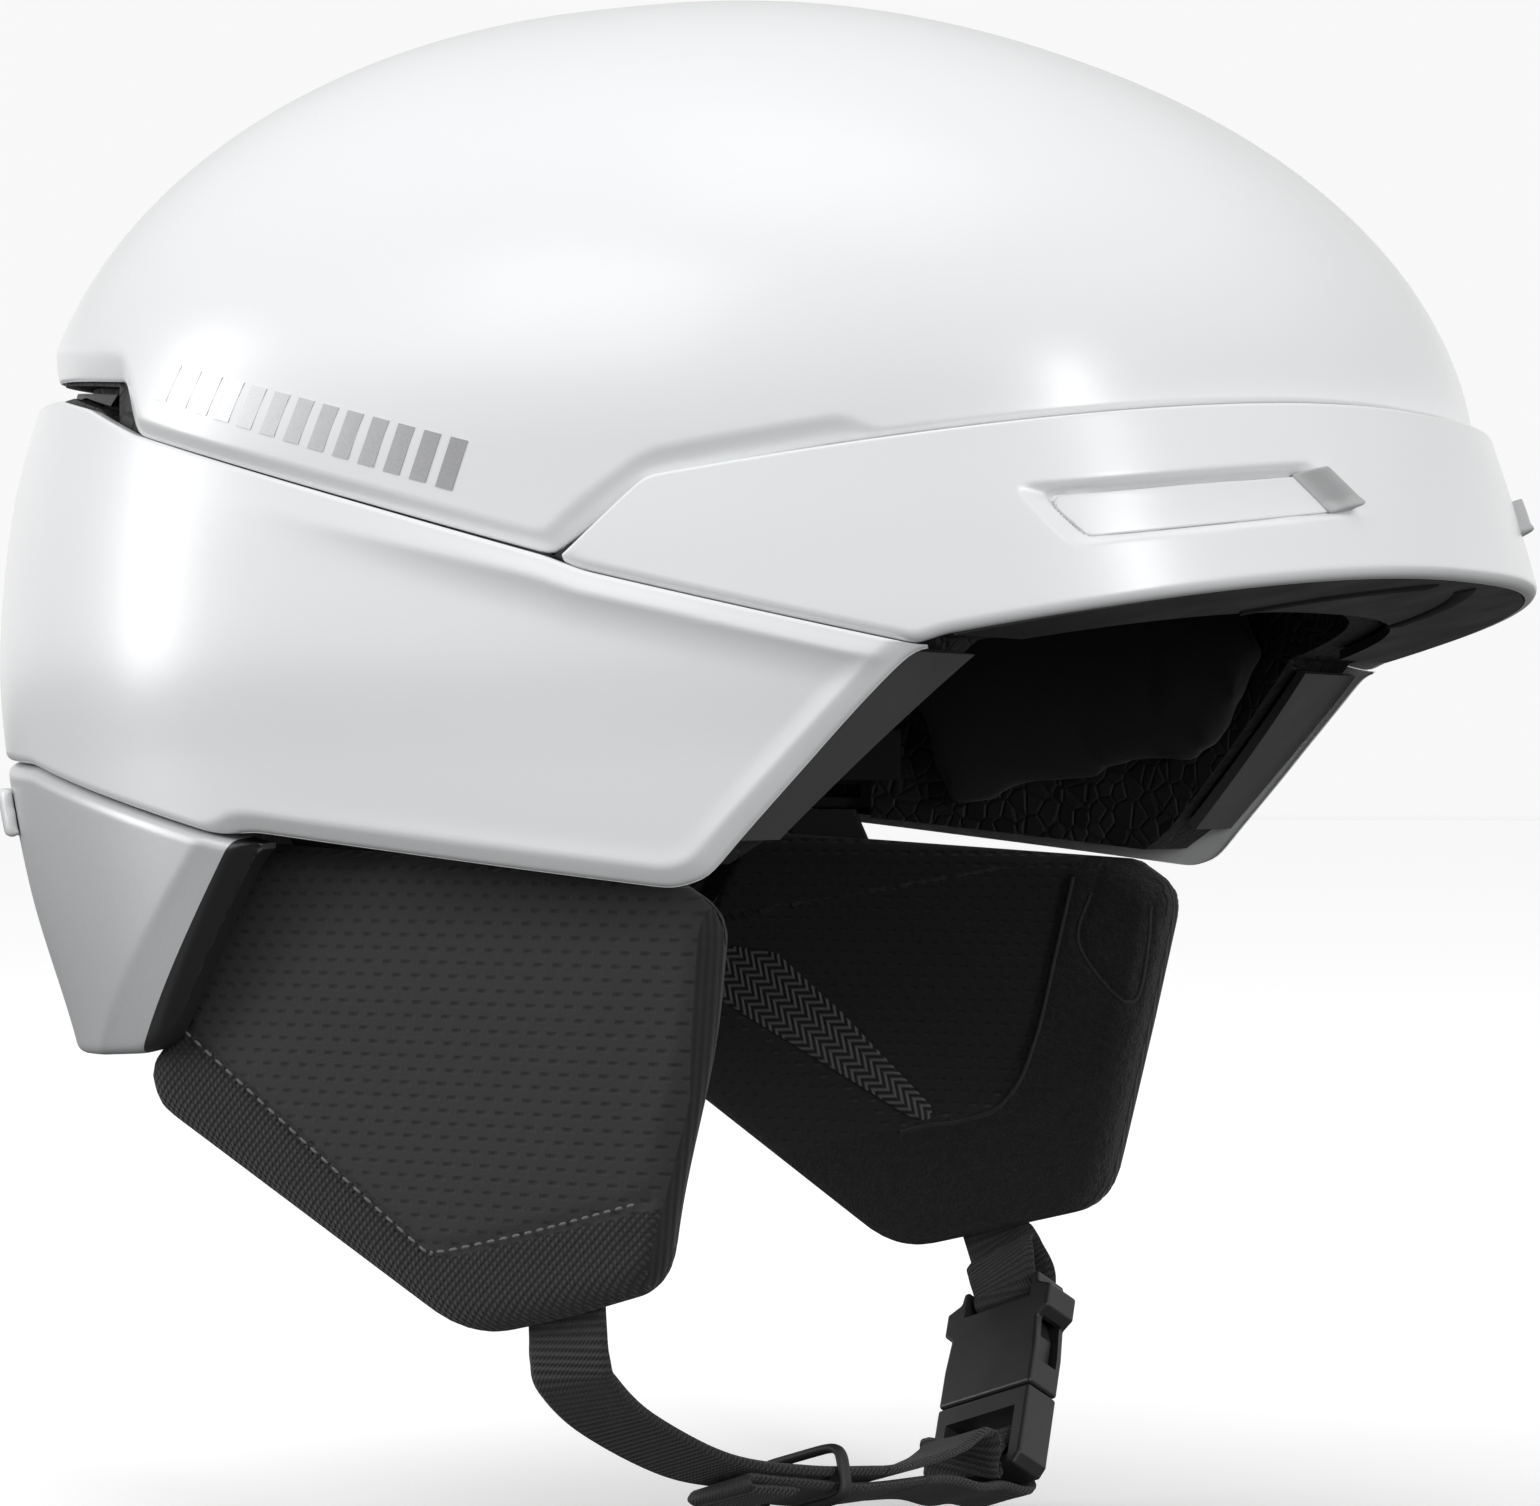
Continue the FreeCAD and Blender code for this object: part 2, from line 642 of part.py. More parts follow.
def make_strap_keeper():
    """Rubber ring round the strap and its tail."""
    middle, along, across, out = keeper_frame()
    outer = box((-1.6, -STRAP_WIDE / 2 - 2.4, -7.4), (1.6, STRAP_WIDE / 2 + 2.4, 3.6))
    inner = box((-3, -STRAP_WIDE / 2 - 0.7, -5.6), (3, STRAP_WIDE / 2 + 0.7, 1.8))
    ring = rounded(outer, 0.9).cut(inner)
    return placed(ring, middle, along, across, out)


# ---- buckle: local axes are width, axis and inward normal ----------------------------
def in_buckle(shape):
    """Put a piece made in the buckle's own axes into place."""
    along = V(BUCKLE_AXIS).normalize()
    inward = BUCKLE_WIDTH.cross(along).normalize()
    across = along.cross(inward)
    return placed(shape, BUCKLE_MID, across, along, inward)


def plate(outline, low, high):
    """Extrude an outline of (width, axis) points between two heights."""
    corners = [V(x, y, low) for x, y in outline]
    return Part.Face(Part.makePolygon(corners + corners[:1])).extrude(V(0, 0, high - low))


def make_buckle_socket():
    half = BUCKLE_HALF_WIDE
    t = BUCKLE_HALF_THICK
    outline = [(-9.6, BUCKLE_END), (9.6, BUCKLE_END), (10.0, 18.6), (half + 1.6, 17.2), (half + 1.6, 12.4),
               (half - 0.6, 10.6), (half, 4), (half, SOCKET_MOUTH), (-half, SOCKET_MOUTH), (-half, 4),
               (-half + 0.6, 10.6), (-half - 1.6, 12.4), (-half - 1.6, 17.2), (-10.0, 18.6)]
    body = rounded(plate(outline, -t, t), 0.7)
    cavity = box((-PRONG_OUT - RUN_FIT, SOCKET_MOUTH - 1, -2.5), (PRONG_OUT + RUN_FIT, 13.4, 2.5))
    window = box((-half - 5, 1.5, -2.5), (half + 5, 11.0, 2.5))
    slot = box((-8.6, 15.2, -t - 1), (8.6, 18.4, t + 1))
    relief_in = box((-8.6, 15.2, -t - 1), (8.6, BUCKLE_END + 1, -1.6))
    relief_out = box((-8.6, 15.2, 1.6), (8.6, BUCKLE_END + 1, t + 1))
    for cutter in (cavity, window, slot, relief_in, relief_out):
        body = body.cut(cutter)
    return in_buckle(biggest(body))


BAR_AT = -14.0
BAR_HALF = 1.3


def make_buckle_plug():
    """Frame with the webbing bar, and the tongue between the prongs."""
    half = BUCKLE_HALF_WIDE
    t = BUCKLE_HALF_THICK
    top = SOCKET_MOUTH - RUN_FIT
    outline = [(-half, top), (half, top), (half, -19), (half - 1.4, -BUCKLE_END), (-half + 1.4, -BUCKLE_END), (-half, -19)]
    frame = rounded(plate(outline, -t, t), 0.7)
    window = box((-8.9, -18.9, -t - 1), (8.9, -8.4, t + 1))
    bar = box((-10, BAR_AT - BAR_HALF, -BAR_HALF), (10, BAR_AT + BAR_HALF, BAR_HALF))
    seat = box((-PRONG_OUT - 0.4, top - 2.0, -2.6), (PRONG_OUT + 0.4, top + 1, 2.6))
    tongue = plate([(-3, top - 3), (3, top - 3), (3, 9), (1.6, 12), (-1.6, 12), (-3, 9)], -1.8, 1.8)
    return in_buckle(frame.cut(window).fuse(rounded(bar, 0.5)).cut(seat).fuse(tongue).removeSplitter())


def prong_outline():
    root = SOCKET_MOUTH - RUN_FIT - 1.6
    return [(6.2, root), (9.0, root), (8.6, 1.0), (PRONG_OUT, 2.2), (PRONG_OUT, 7.5), (8.2, 12.2), (6.6, 12.2), (6.6, 1.0)]


def make_buckle_prong(side):
    outline = [(side * x, y) for x, y in prong_outline()]
    return in_buckle(rounded(plate(outline, -2.1, 2.1), 0.4))


def webbing_ring(middle, inner_half_y, inner_half_z):
    """Webbing wrapped round a bar that lies across the buckle."""
    wall = 1.4
    y = inner_half_y + wall
    z = inner_half_z + wall
    outer = rounded(box((-7.8, middle - y, -z), (7.8, middle + y, z)), 0.8)
    return outer.cut(box((-9, middle - inner_half_y, -inner_half_z), (9, middle + inner_half_y, inner_half_z)))


def make_fold_right():
    return in_buckle(webbing_ring(BAR_AT, BAR_HALF + 0.25, BAR_HALF + 0.25))


def make_fold_left():
    return in_buckle(webbing_ring((18.4 + BUCKLE_END) / 2, 1.55, 1.85))


# ---- build --------------------------------------------------------------------------
def build():
    vent_space = rear_vent_space()
    pocket = slider_pocket()
    window = slot_block(BACK_R - 2, SLOT_RADIUS + 6, -SLOT_HALF_HEIGHT - 2.4, SLOT_HALF_HEIGHT + 2.4,
                        RECESS_START - 5, RECESS_END + 5)
    anchor_room = anchor_pocket()
    pockets = [pocket, mirrored(pocket), window, mirrored(window), anchor_room, mirrored(anchor_room)]
    save("crown_shell", make_crown_shell(vent_space))
    save("brow_shell", make_brow_shell())
    save("side_shell", make_side_shell())
    save("neck_guard", make_neck_guard())
    save("rear_band", make_rear_band())
    save("rear_vent_insert", make_rear_vent_insert())
    save("foam_liner", make_foam_liner(pockets))
    save("brim_liner", make_brim_liner())
    save("crown_pad", make_crown_pad())
    save("brow_pad", make_brow_pad())
    save("nape_pad", make_nape_pad())
    save("fit_cradle", make_fit_cradle())
    save("dial_housing", make_dial_housing())
    save("fit_dial", make_fit_dial())
    save("fit_pinion", make_fit_pinion())
    save("ear_pad_studs", make_ear_pad_studs())
    save("strap_rivets", make_strap_rivets())
    pairs = {
        "rim": make_rim,
        "vent_track": make_vent_track,
        "vent_tab": make_vent_tab,
        "vent_shutter": make_vent_shutter,
        "temple_pad": make_temple_pad,
        "fit_band": make_fit_band,
        "ear_pad_outer": make_ear_pad_outer,
        "ear_pad_inner": make_ear_pad_inner,
        "ear_pad_plate": make_ear_pad_plate,
        "strap_inner": make_strap_inner,
        "strap_anchor": make_strap_anchor,
    }
    for name, make in pairs.items():
        right = make()
        save(name + "_right", right)
        save(name + "_left", mirrored(right))
    save("strap_right", make_strap_right())
    save("strap_lower", make_strap_lower())
    save("strap_left", make_strap_left())
    save("strap_tail", make_strap_tail())
    save("strap_keeper", make_strap_keeper())
    save("buckle_socket", make_buckle_socket())
    save("buckle_plug", make_buckle_plug())
    save("buckle_prong_front", make_buckle_prong(1))
    save("buckle_prong_rear", make_buckle_prong(-1))
    save("strap_fold_right", make_fold_right())
    save("strap_fold_left", make_fold_left())


build()
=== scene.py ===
import math

import bmesh
import bpy
import numpy as np
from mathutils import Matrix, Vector
from mathutils.bvhtree import BVHTree


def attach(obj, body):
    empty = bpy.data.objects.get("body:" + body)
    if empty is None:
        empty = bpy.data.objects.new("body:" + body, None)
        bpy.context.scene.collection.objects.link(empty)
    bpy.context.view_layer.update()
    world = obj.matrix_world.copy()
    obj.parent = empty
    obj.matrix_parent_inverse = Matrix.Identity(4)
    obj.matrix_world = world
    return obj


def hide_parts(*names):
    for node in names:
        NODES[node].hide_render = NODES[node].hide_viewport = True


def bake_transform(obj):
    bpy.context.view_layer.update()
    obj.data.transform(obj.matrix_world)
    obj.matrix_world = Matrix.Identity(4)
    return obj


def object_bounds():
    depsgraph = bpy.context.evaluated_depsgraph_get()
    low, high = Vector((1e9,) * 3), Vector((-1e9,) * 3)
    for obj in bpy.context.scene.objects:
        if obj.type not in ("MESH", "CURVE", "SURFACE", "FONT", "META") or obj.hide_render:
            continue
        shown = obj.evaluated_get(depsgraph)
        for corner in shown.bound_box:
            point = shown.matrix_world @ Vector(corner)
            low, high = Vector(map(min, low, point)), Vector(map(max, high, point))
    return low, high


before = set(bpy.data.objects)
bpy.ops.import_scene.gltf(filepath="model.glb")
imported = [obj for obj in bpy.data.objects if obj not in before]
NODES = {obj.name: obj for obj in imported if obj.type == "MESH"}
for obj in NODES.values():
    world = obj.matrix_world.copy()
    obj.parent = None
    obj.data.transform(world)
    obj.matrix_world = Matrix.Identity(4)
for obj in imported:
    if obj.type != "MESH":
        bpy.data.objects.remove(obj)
CAD_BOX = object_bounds()

# Lengths below are in millimetres, in the row frame; make_mesh turns them into metres.
MM = 0.001

# ---- the outer surfaces, as the CAD has them ------------------------------------------
WIDEST_X = -16.6
POWER = 2.5
SKIN = 2.6
OUTER_LEVELS = [
    (-62, 150, 100, 103), (-46, 151, 105, 105), (-20, 153, 116, 107), (2, 156, 121, 109),
    (20, 157, 122, 111), (36, 153, 121, 110.5), (52, 148, 118.5, 109), (66, 143, 113.5, 107.5),
    (80, 138, 108, 104),
]
CROWN_FRONT = 141.9
CROWN_BACK = 114.1
CROWN_HALF = 109.6
CROWN_BASE_Z = 53.4
CROWN_RISE = 87.5

# edges in the side view (X, Z), back to front
CROWN_EDGE = [(-150, 76), (-71, 68.5), (-66, 58.6), (20.5, 35.6), (38.5, 47.6), (71, 53.0), (150, 64.6)]
SIDE_TOP = [(-150, 67), (-92, 66.4), (-80, 63.9), (-66, 58.6), (20, 35.6), (27, 33.1), (80, 20.9)]
SIDE_BOTTOM = [
    (-150, 5), (-98, 2.6), (-46, -9.3), (-39, -8.9), (40, -17.4), (46, -15.6), (49, -12), (80, 20.5),
]
BROW_TOP = [(22.6, 34.9), (37.0, 47.9), (71, 52.9), (150, 64.4)]
BROW_BOTTOM = [(20.5, 36.2), (25, 33.7), (80, 21.1), (84, 22.6), (150, 36.4)]
GUARD_TOP = [(-150, 4.4), (-98, 2.0), (-46, -9.8), (-39, -11)]
GUARD_BOTTOM = [(-150, -50), (-98, -49), (-70, -47.5), (-64, -44), (-39, -11)]
GUARD_FRONT = [(-38, -9), (-64, -44), (-67, -47.5)]
# the guard's flank in front of its slanted edge, and the depth of the guard's side walls
FLANK_WIDE = 4.4
GUARD_WALL = 7.0


def smooth_rows(table):
    """A smooth curve through the rows of a table: a function of its first column."""
    table = np.array(table, float)
    knots, rows = table[:, 0], table[:, 1:]
    slopes = np.gradient(rows, knots, axis=0)

    def at(t):
        t = np.asarray(t, float)
        i = np.clip(np.searchsorted(knots, t) - 1, 0, len(knots) - 2)
        h = knots[i + 1] - knots[i]
        u = np.clip((t - knots[i]) / h, 0, 1)[..., None]
        h = h[..., None]
        a = (2 * u ** 3 - 3 * u ** 2 + 1) * rows[i] + (u ** 3 - 2 * u ** 2 + u) * h * slopes[i]
        b = (3 * u ** 2 - 2 * u ** 3) * rows[i + 1] + (u ** 3 - u ** 2) * h * slopes[i + 1]
        return a + b
    return at


outer_sizes = smooth_rows(OUTER_LEVELS)


def squared_oval(a, z, front, back, half):
    """The helmet's level section at height z, at an angle a from the front towards the left."""
    c, s = np.cos(a), np.sin(a)
    x = WIDEST_X + np.where(c > 0, front, back) * np.sign(c) * np.abs(c) ** (2 / POWER)
    y = half * np.sign(s) * np.abs(s) ** (2 / POWER)
    return np.stack([x, y, z * np.ones_like(x)], -1)


def crown_surface(a, m):
    """m is the height over the crown's base on the wall, over CROWN_RISE, and then the angle of rise."""
    up = np.clip(m, 0, None)
    k = np.cos(up)
    z = CROWN_BASE_Z + CROWN_RISE * (np.sin(up) + np.clip(m, None, 0))
    return squared_oval(a, z, CROWN_FRONT * k, CROWN_BACK * k, CROWN_HALF * k)


def lower_surface(a, z):
    """The surface of the side, brow and guard shells."""
    sizes = outer_sizes(z)
    return squared_oval(a, z, sizes[..., 0], sizes[..., 1], sizes[..., 2])


def surface_normals(surface, a, m):
    """Outward normals from small steps on a surface."""
    step = 1e-3
    span = 0.02 if surface is crown_surface else 1.0
    da = surface(a + step, m) - surface(a - step, m)
    dm = surface(a, m + step * span) - surface(a, m - step * span)
    n = np.cross(da, dm)
    return n / np.maximum(np.linalg.norm(n, axis=-1, keepdims=True), 1e-12)


def soft_edge(points, softness):
    """An edge line in the side view with rounded corners: a function from X to Z."""
    xs = np.arange(-150, 150.1, 0.25)
    table = np.array(points, float)
    zs = np.interp(xs, table[:, 0], table[:, 1])
    reach = int(4 * softness / 0.25)
    weights = np.exp(-0.5 * (np.arange(-reach, reach + 1) * 0.25 / softness) ** 2)
    padded = np.pad(zs, reach, mode="edge")
    zs = np.convolve(padded, weights / weights.sum(), mode="valid")
    return lambda x: np.interp(x, xs, zs)


def where_edge(surface, a, edge, low, high):
    """For each angle, the surface's second parameter where it meets an edge line."""
    lo = np.full_like(a, low)
    hi = np.full_like(a, high)
    for _ in range(40):
        mid = (lo + hi) / 2
        p = surface(a, mid)
        above = p[:, 2] > edge(p[:, 0])
        hi = np.where(above, mid, hi)
        lo = np.where(above, lo, mid)
    return (lo + hi) / 2


def edge_distance(points, line, closed, reach=14):
    """Distance of each grid point to the edge line, looking at the nearby columns only."""
    best = np.full(points.shape[:2], 1e9)
    count = len(line)
    for shift in range(-reach, reach):
        i = np.arange(count) + shift
        if closed:
            p, q = line[i % count], line[(i + 1) % count]
        else:
            p, q = line[np.clip(i, 0, count - 1)], line[np.clip(i + 1, 0, count - 1)]
        along = q - p
        length = np.maximum((along ** 2).sum(-1), 1e-12)
        rel = points - p[:, None]
        t = np.clip((rel * along[:, None]).sum(-1) / length[:, None], 0, 1)
        best = np.minimum(best, np.linalg.norm(rel - t[..., None] * along[:, None], axis=-1))
    return best


def rolled(distance, radius):
    """How far a rolled edge has turned inwards, at a distance from it."""
    k = np.clip(1 - distance / radius, 0, 1)
    return radius * (1 - np.sqrt(1 - k ** 2))


def chamfered(distance, width, depth):
    """The same for a flat chamfer with a softened shoulder."""
    k = np.clip(1 - distance / width, 0, 1)
    return depth * (np.sqrt(k ** 2 + 0.012) - math.sqrt(0.012))


def smoothstep(low, high, value):
    """0 at low, 1 at high, and smooth between them."""
    t = np.clip((value - low) / (high - low), 0, 1)
    return t * t * (3 - 2 * t)


def unit(vectors):
    return vectors / np.linalg.norm(vectors, axis=-1, keepdims=True)


def tangents(path):
    return unit(np.gradient(path, axis=0))


# ---- meshes ---------------------------------------------------------------------------
def make_mesh(name, points, faces, material, sharp=50.0, merge=0.02):
    """A piece from points in millimetres."""
    mesh = bpy.data.meshes.new(name)
    mesh.from_pydata((np.asarray(points, float).reshape(-1, 3) * MM).tolist(), [], faces)
    b = bmesh.new()
    b.from_mesh(mesh)
    if merge:
        bmesh.ops.remove_doubles(b, verts=b.verts, dist=merge * MM)
    bmesh.ops.dissolve_degenerate(b, edges=b.edges, dist=1e-6)
    bmesh.ops.recalc_face_normals(b, faces=b.faces)
    b.to_mesh(mesh)
    b.free()
    mesh.shade_smooth()
    mesh.set_sharp_from_angle(angle=math.radians(sharp))
    piece = bpy.data.objects.new(name, mesh)
    bpy.context.scene.collection.objects.link(piece)
    mesh.materials.append(material)
    return piece


def hang(piece, body, slot, *stands_for):
    """Carry a piece on a body, and hide the CAD solids that it stands for. slot is not used."""
    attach(piece, body)
    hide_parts(*stands_for)


def grid_faces(columns, rows, close_columns, close_rows):
    """Quads of a grid stored column by column, with the open ends capped."""
    faces = []
    for i in range(columns if close_columns else columns - 1):
        for j in range(rows if close_rows else rows - 1):
            k = (i + 1) % columns
            l = (j + 1) % rows
            faces.append((i * rows + j, k * rows + j, k * rows + l, i * rows + l))
    if close_rows and not close_columns:
        faces.append(tuple(range(rows))[::-1])
        faces.append(tuple((columns - 1) * rows + j for j in range(rows)))
    return faces


def plate_faces(count, rows):
    """Faces of a closed plate: count columns of points round it, with the first and last rows filled."""
    faces = grid_faces(count, rows, True, False)
    faces.append(tuple(i * rows for i in range(count)))
    faces.append(tuple(i * rows + rows - 1 for i in range(count))[::-1])
    return faces


def shell_piece(name, material, surface, angles, low, high, shares, closed, depth, wall=SKIN, inner_step=6):
    """A closed shell on a surface between two edges. depth says how far each point of the outside sinks."""
    a = angles[:, None] * np.ones(len(shares))
    m = low[:, None] + (high - low)[:, None] * shares
    p = surface(a, m)
    n = surface_normals(surface, a, m)
    to_low = edge_distance(p, surface(angles, low), closed)
    to_high = edge_distance(p, surface(angles, high), closed)
    outside = p - n * depth(p, to_low, to_high)[..., None]
    keep = sorted(set(range(0, len(shares), inner_step)) | {len(shares) - 1}, reverse=True)
    inside = (p - n * wall)[:, keep]
    points = np.concatenate([outside, inside], 1)
    faces = grid_faces(points.shape[0], points.shape[1], closed, True)
    return make_mesh(name, points, faces, material)


# ---- materials ------------------------------------------------------------------------
def shader_of(m):
    return m.node_tree.nodes["Principled BSDF"]


def plain_material(name, colour, roughness, **more):
    """A material with uniform values. more names further sockets, with _ for a space."""
    m = bpy.data.materials.new(name)
    m.use_nodes = True
    shader = shader_of(m)
    shader.inputs["Base Color"].default_value = (*colour, 1)
    shader.inputs["Roughness"].default_value = roughness
    for key, value in more.items():
        shader.inputs[key.replace("_", " ")].default_value = value
    return m


def node(m, kind, **settings):
    """A new shader node with its settings."""
    made = m.node_tree.nodes.new(kind)
    for key, value in settings.items():
        setattr(made, key, value)
    return made


def link(m, source, target):
    m.node_tree.links.new(source, target)


def place(m):
    """The point on the surface, in metres, in the piece's own frame."""
    return node(m, "ShaderNodeTexCoord").outputs["Object"]


def add_noise(m, scale, detail=3.0, roughness=0.5):
    made = node(m, "ShaderNodeTexNoise")
    made.inputs["Scale"].default_value = scale
    made.inputs["Detail"].default_value = detail
    made.inputs["Roughness"].default_value = roughness
    link(m, place(m), made.inputs["Vector"])
    return made.outputs["Fac"]


def add_bump(m, height, strength, distance):
    """Bump the surface by a height socket."""
    made = node(m, "ShaderNodeBump")
    made.inputs["Strength"].default_value = strength
    made.inputs["Distance"].default_value = distance
    link(m, height, made.inputs["Height"])
    link(m, made.outputs["Normal"], shader_of(m).inputs["Normal"])


def remap(m, value, from_low, from_high, low=0.0, high=1.0):
    """A value's range mapped onto another."""
    made = node(m, "ShaderNodeMapRange")
    for socket, limit in zip(("From Min", "From Max", "To Min", "To Max"), (from_low, from_high, low, high)):
        made.inputs[socket].default_value = limit
    link(m, value, made.inputs["Value"])
    return made.outputs["Result"]


def uneven_gloss(m, scale, detail, low, high):
    """Roughness that wanders between two values."""
    noise = add_noise(m, scale, detail)
    link(m, remap(m, noise, 0.3, 0.7, low, high), shader_of(m).inputs["Roughness"])


def colour_mix(m, factor, first, second):
    """A mix of two colours, each a tuple or a socket."""
    made = node(m, "ShaderNodeMix", data_type="RGBA")
    sockets = [socket for socket in made.inputs if socket.type == "RGBA"]
    for socket, colour in zip(sockets, (first, second)):
        if isinstance(colour, tuple):
            socket.default_value = (*colour, 1)
        else:
            link(m, colour, socket)
    link(m, factor, made.inputs["Factor"])
    return [out for out in made.outputs if out.type == "RGBA"][0]


def colour_between(m, factor, first, second):
    """Base colour between two colours."""
    link(m, colour_mix(m, factor, first, second), shader_of(m).inputs["Base Color"])


def white_paint():
    """Satin paint over a hard shell: a faint orange peel and a slightly uneven gloss."""
    m = plain_material("shell_white", (0.86, 0.87, 0.88), 0.32, Coat_Weight=0.8, Coat_Roughness=0.26)
    uneven_gloss(m, 55, 2, 0.31, 0.37)
    add_bump(m, add_noise(m, 900, 2), 0.05, 0.0002)
    return m


def silver_paint():
    """Silver-grey paint with a fine flake, and painted shade: the flank in front of the guard's slanted edge
    is painted near-black for the shadow on it.
    """
    m = plain_material("guard_silver", (0.55, 0.56, 0.57), 0.36, Metallic=0.2, Coat_Weight=0.2,
                       Coat_Roughness=0.25)
    flake = add_noise(m, 5200, 2, 0.7)
    paint = colour_mix(m, flake, (0.50, 0.51, 0.52), (0.68, 0.69, 0.70))
    x, _, z = axes(m)
    behind = beyond(m, x, z, GUARD_FRONT[1], GUARD_FRONT[0])
    # painted shade: near-black colour on the flank in front of the slanted edge, standing for its shadow
    flank = calc(m, "LESS_THAN", behind, FLANK_WIDE - 0.7)
    link(m, colour_mix(m, flank, paint, (0.028, 0.028, 0.03)), shader_of(m).inputs["Base Color"])
    add_bump(m, flake, 0.12, 0.0001)
    return m


def moulded(name, colour, roughness, grain=2600, depth=0.00008):
    """Moulded plastic with a fine grain."""
    m = plain_material(name, colour, roughness)
    uneven_gloss(m, 90, 3, roughness - 0.06, roughness + 0.06)
    add_bump(m, add_noise(m, grain, 2, 0.6), 0.35, depth)
    return m


def bead_foam():
    """Fused foam beads: flat cells with fine seams between them."""
    m = plain_material("foam_black", (0.012, 0.012, 0.013), 0.62)
    seams, tone = (node(m, "ShaderNodeTexVoronoi", feature=feature) for feature in ("DISTANCE_TO_EDGE", "F1"))
    for cells in (seams, tone):
        cells.inputs["Scale"].default_value = 260
        link(m, place(m), cells.inputs["Vector"])
    colour_between(m, tone.outputs["Color"], (0.006, 0.006, 0.0065), (0.02, 0.02, 0.021))
    add_bump(m, remap(m, seams.outputs["Distance"], 0.0, 0.12), 0.7, 0.0005)
    return m


WHITE = white_paint()
DARK = moulded("trim_dark", (0.03, 0.03, 0.032), 0.5)
BRIM = moulded("brim_dark", (0.022, 0.022, 0.023), 0.5)
# painted shade: the rim's dark grey stands for the white shell's inner edge in shadow
RIM = moulded("rim_grey", (0.08, 0.08, 0.082), 0.42)
TAB = moulded("tab_grey", (0.47, 0.475, 0.48), 0.4)
FOAM = bead_foam()
# painted shade: near-black colour for the shade inside the brow's slits
SLIT_SHADE = moulded("slit_painted_shade", (0.002, 0.002, 0.002), 0.8)
BUCKLE = moulded("buckle_plastic", (0.025, 0.025, 0.027), 0.38)
RUBBER = moulded("keeper_rubber", (0.02, 0.02, 0.02), 0.6)
DIAL = moulded("dial_rubber", (0.04, 0.04, 0.042), 0.62)
STEEL = plain_material("stud_steel", (0.5, 0.5, 0.5), 0.3, Metallic=1.0)

# ---- fabrics --------------------------------------------------------------------------
def calc(m, operation, a, b=None, c=None, clamp=False):
    """A math node on sockets or numbers."""
    made = node(m, "ShaderNodeMath", operation=operation, use_clamp=clamp)
    for k, value in enumerate((a, b, c)):
        if value is None:
            continue
        if isinstance(value, (int, float)):
            made.inputs[k].default_value = value
        else:
            link(m, value, made.inputs[k])
    return made.outputs[0]


def axes(m):
    """X, Y and Z of the surface point in millimetres."""
    split = node(m, "ShaderNodeSeparateXYZ")
    link(m, place(m), split.inputs["Vector"])
    return [calc(m, "MULTIPLY", split.outputs[k], 1 / MM) for k in ("X", "Y", "Z")]


def beyond(m, x, z, p, q):
    """Distance in millimetres to the left of the line from p to q in the side view."""
    length = math.hypot(q[0] - p[0], q[1] - p[1])
    across = calc(m, "MULTIPLY", z, (q[0] - p[0]) / length)
    along = calc(m, "MULTIPLY", x, -(q[1] - p[1]) / length)
    offset = (-(q[0] - p[0]) * p[1] + (q[1] - p[1]) * p[0]) / length
    return calc(m, "ADD", calc(m, "ADD", across, along), offset)


def wave(m, value, pitch):
    """0 to 1 and back over a pitch."""
    turned = calc(m, "MULTIPLY", value, 2 * math.pi / pitch)
    return calc(m, "MULTIPLY_ADD", calc(m, "SINE", turned), 0.5, 0.5)


def mixed(m, factor, a, b):
    """Blend of two values or sockets."""
    made = node(m, "ShaderNodeMix", data_type="FLOAT")
    for name, value in (("A", a), ("B", b)):
        if isinstance(value, (int, float)):
            made.inputs[name].default_value = value
        else:
            link(m, value, made.inputs[name])
    link(m, factor, made.inputs["Factor"])
    return made.outputs["Result"]


def knit_height(m, x, z):
    """Rows of short sunk dashes, each row shifted by half a pitch."""
    row = calc(m, "DIVIDE", z, 2.24)
    index = calc(m, "FLOOR", row)
    shift = calc(m, "MULTIPLY", calc(m, "MODULO", calc(m, "ABSOLUTE", index), 2.0), 0.5)
    place_in = calc(m, "FRACT", calc(m, "ADD", calc(m, "DIVIDE", x, 3.7), shift))
    up = calc(m, "ABSOLUTE", calc(m, "SUBTRACT", calc(m, "FRACT", row), 0.5))
    side = calc(m, "ABSOLUTE", calc(m, "SUBTRACT", place_in, 0.5))
    wide = calc(m, "SUBTRACT", 1.0, calc(m, "DIVIDE", side, 0.30), clamp=True)
    tall = calc(m, "SUBTRACT", 1.0, calc(m, "DIVIDE", up, 0.22), clamp=True)
    return calc(m, "MULTIPLY", calc(m, "POWER", wide, 0.5), calc(m, "POWER", tall, 0.7))


def weave_height(m, x, z, pitch=1.1):
    """Basket weave seen on the slant."""
    strands = [wave(m, calc(m, way, x, z), pitch * 1.414) for way in ("ADD", "SUBTRACT")]
    return calc(m, "MULTIPLY", *strands)


def fabric_colour(m, value, dark, light):
    """Grey from dark to light by a value."""
    colour_between(m, value, (dark, dark, dark * 1.02), (light, light, light * 1.02))


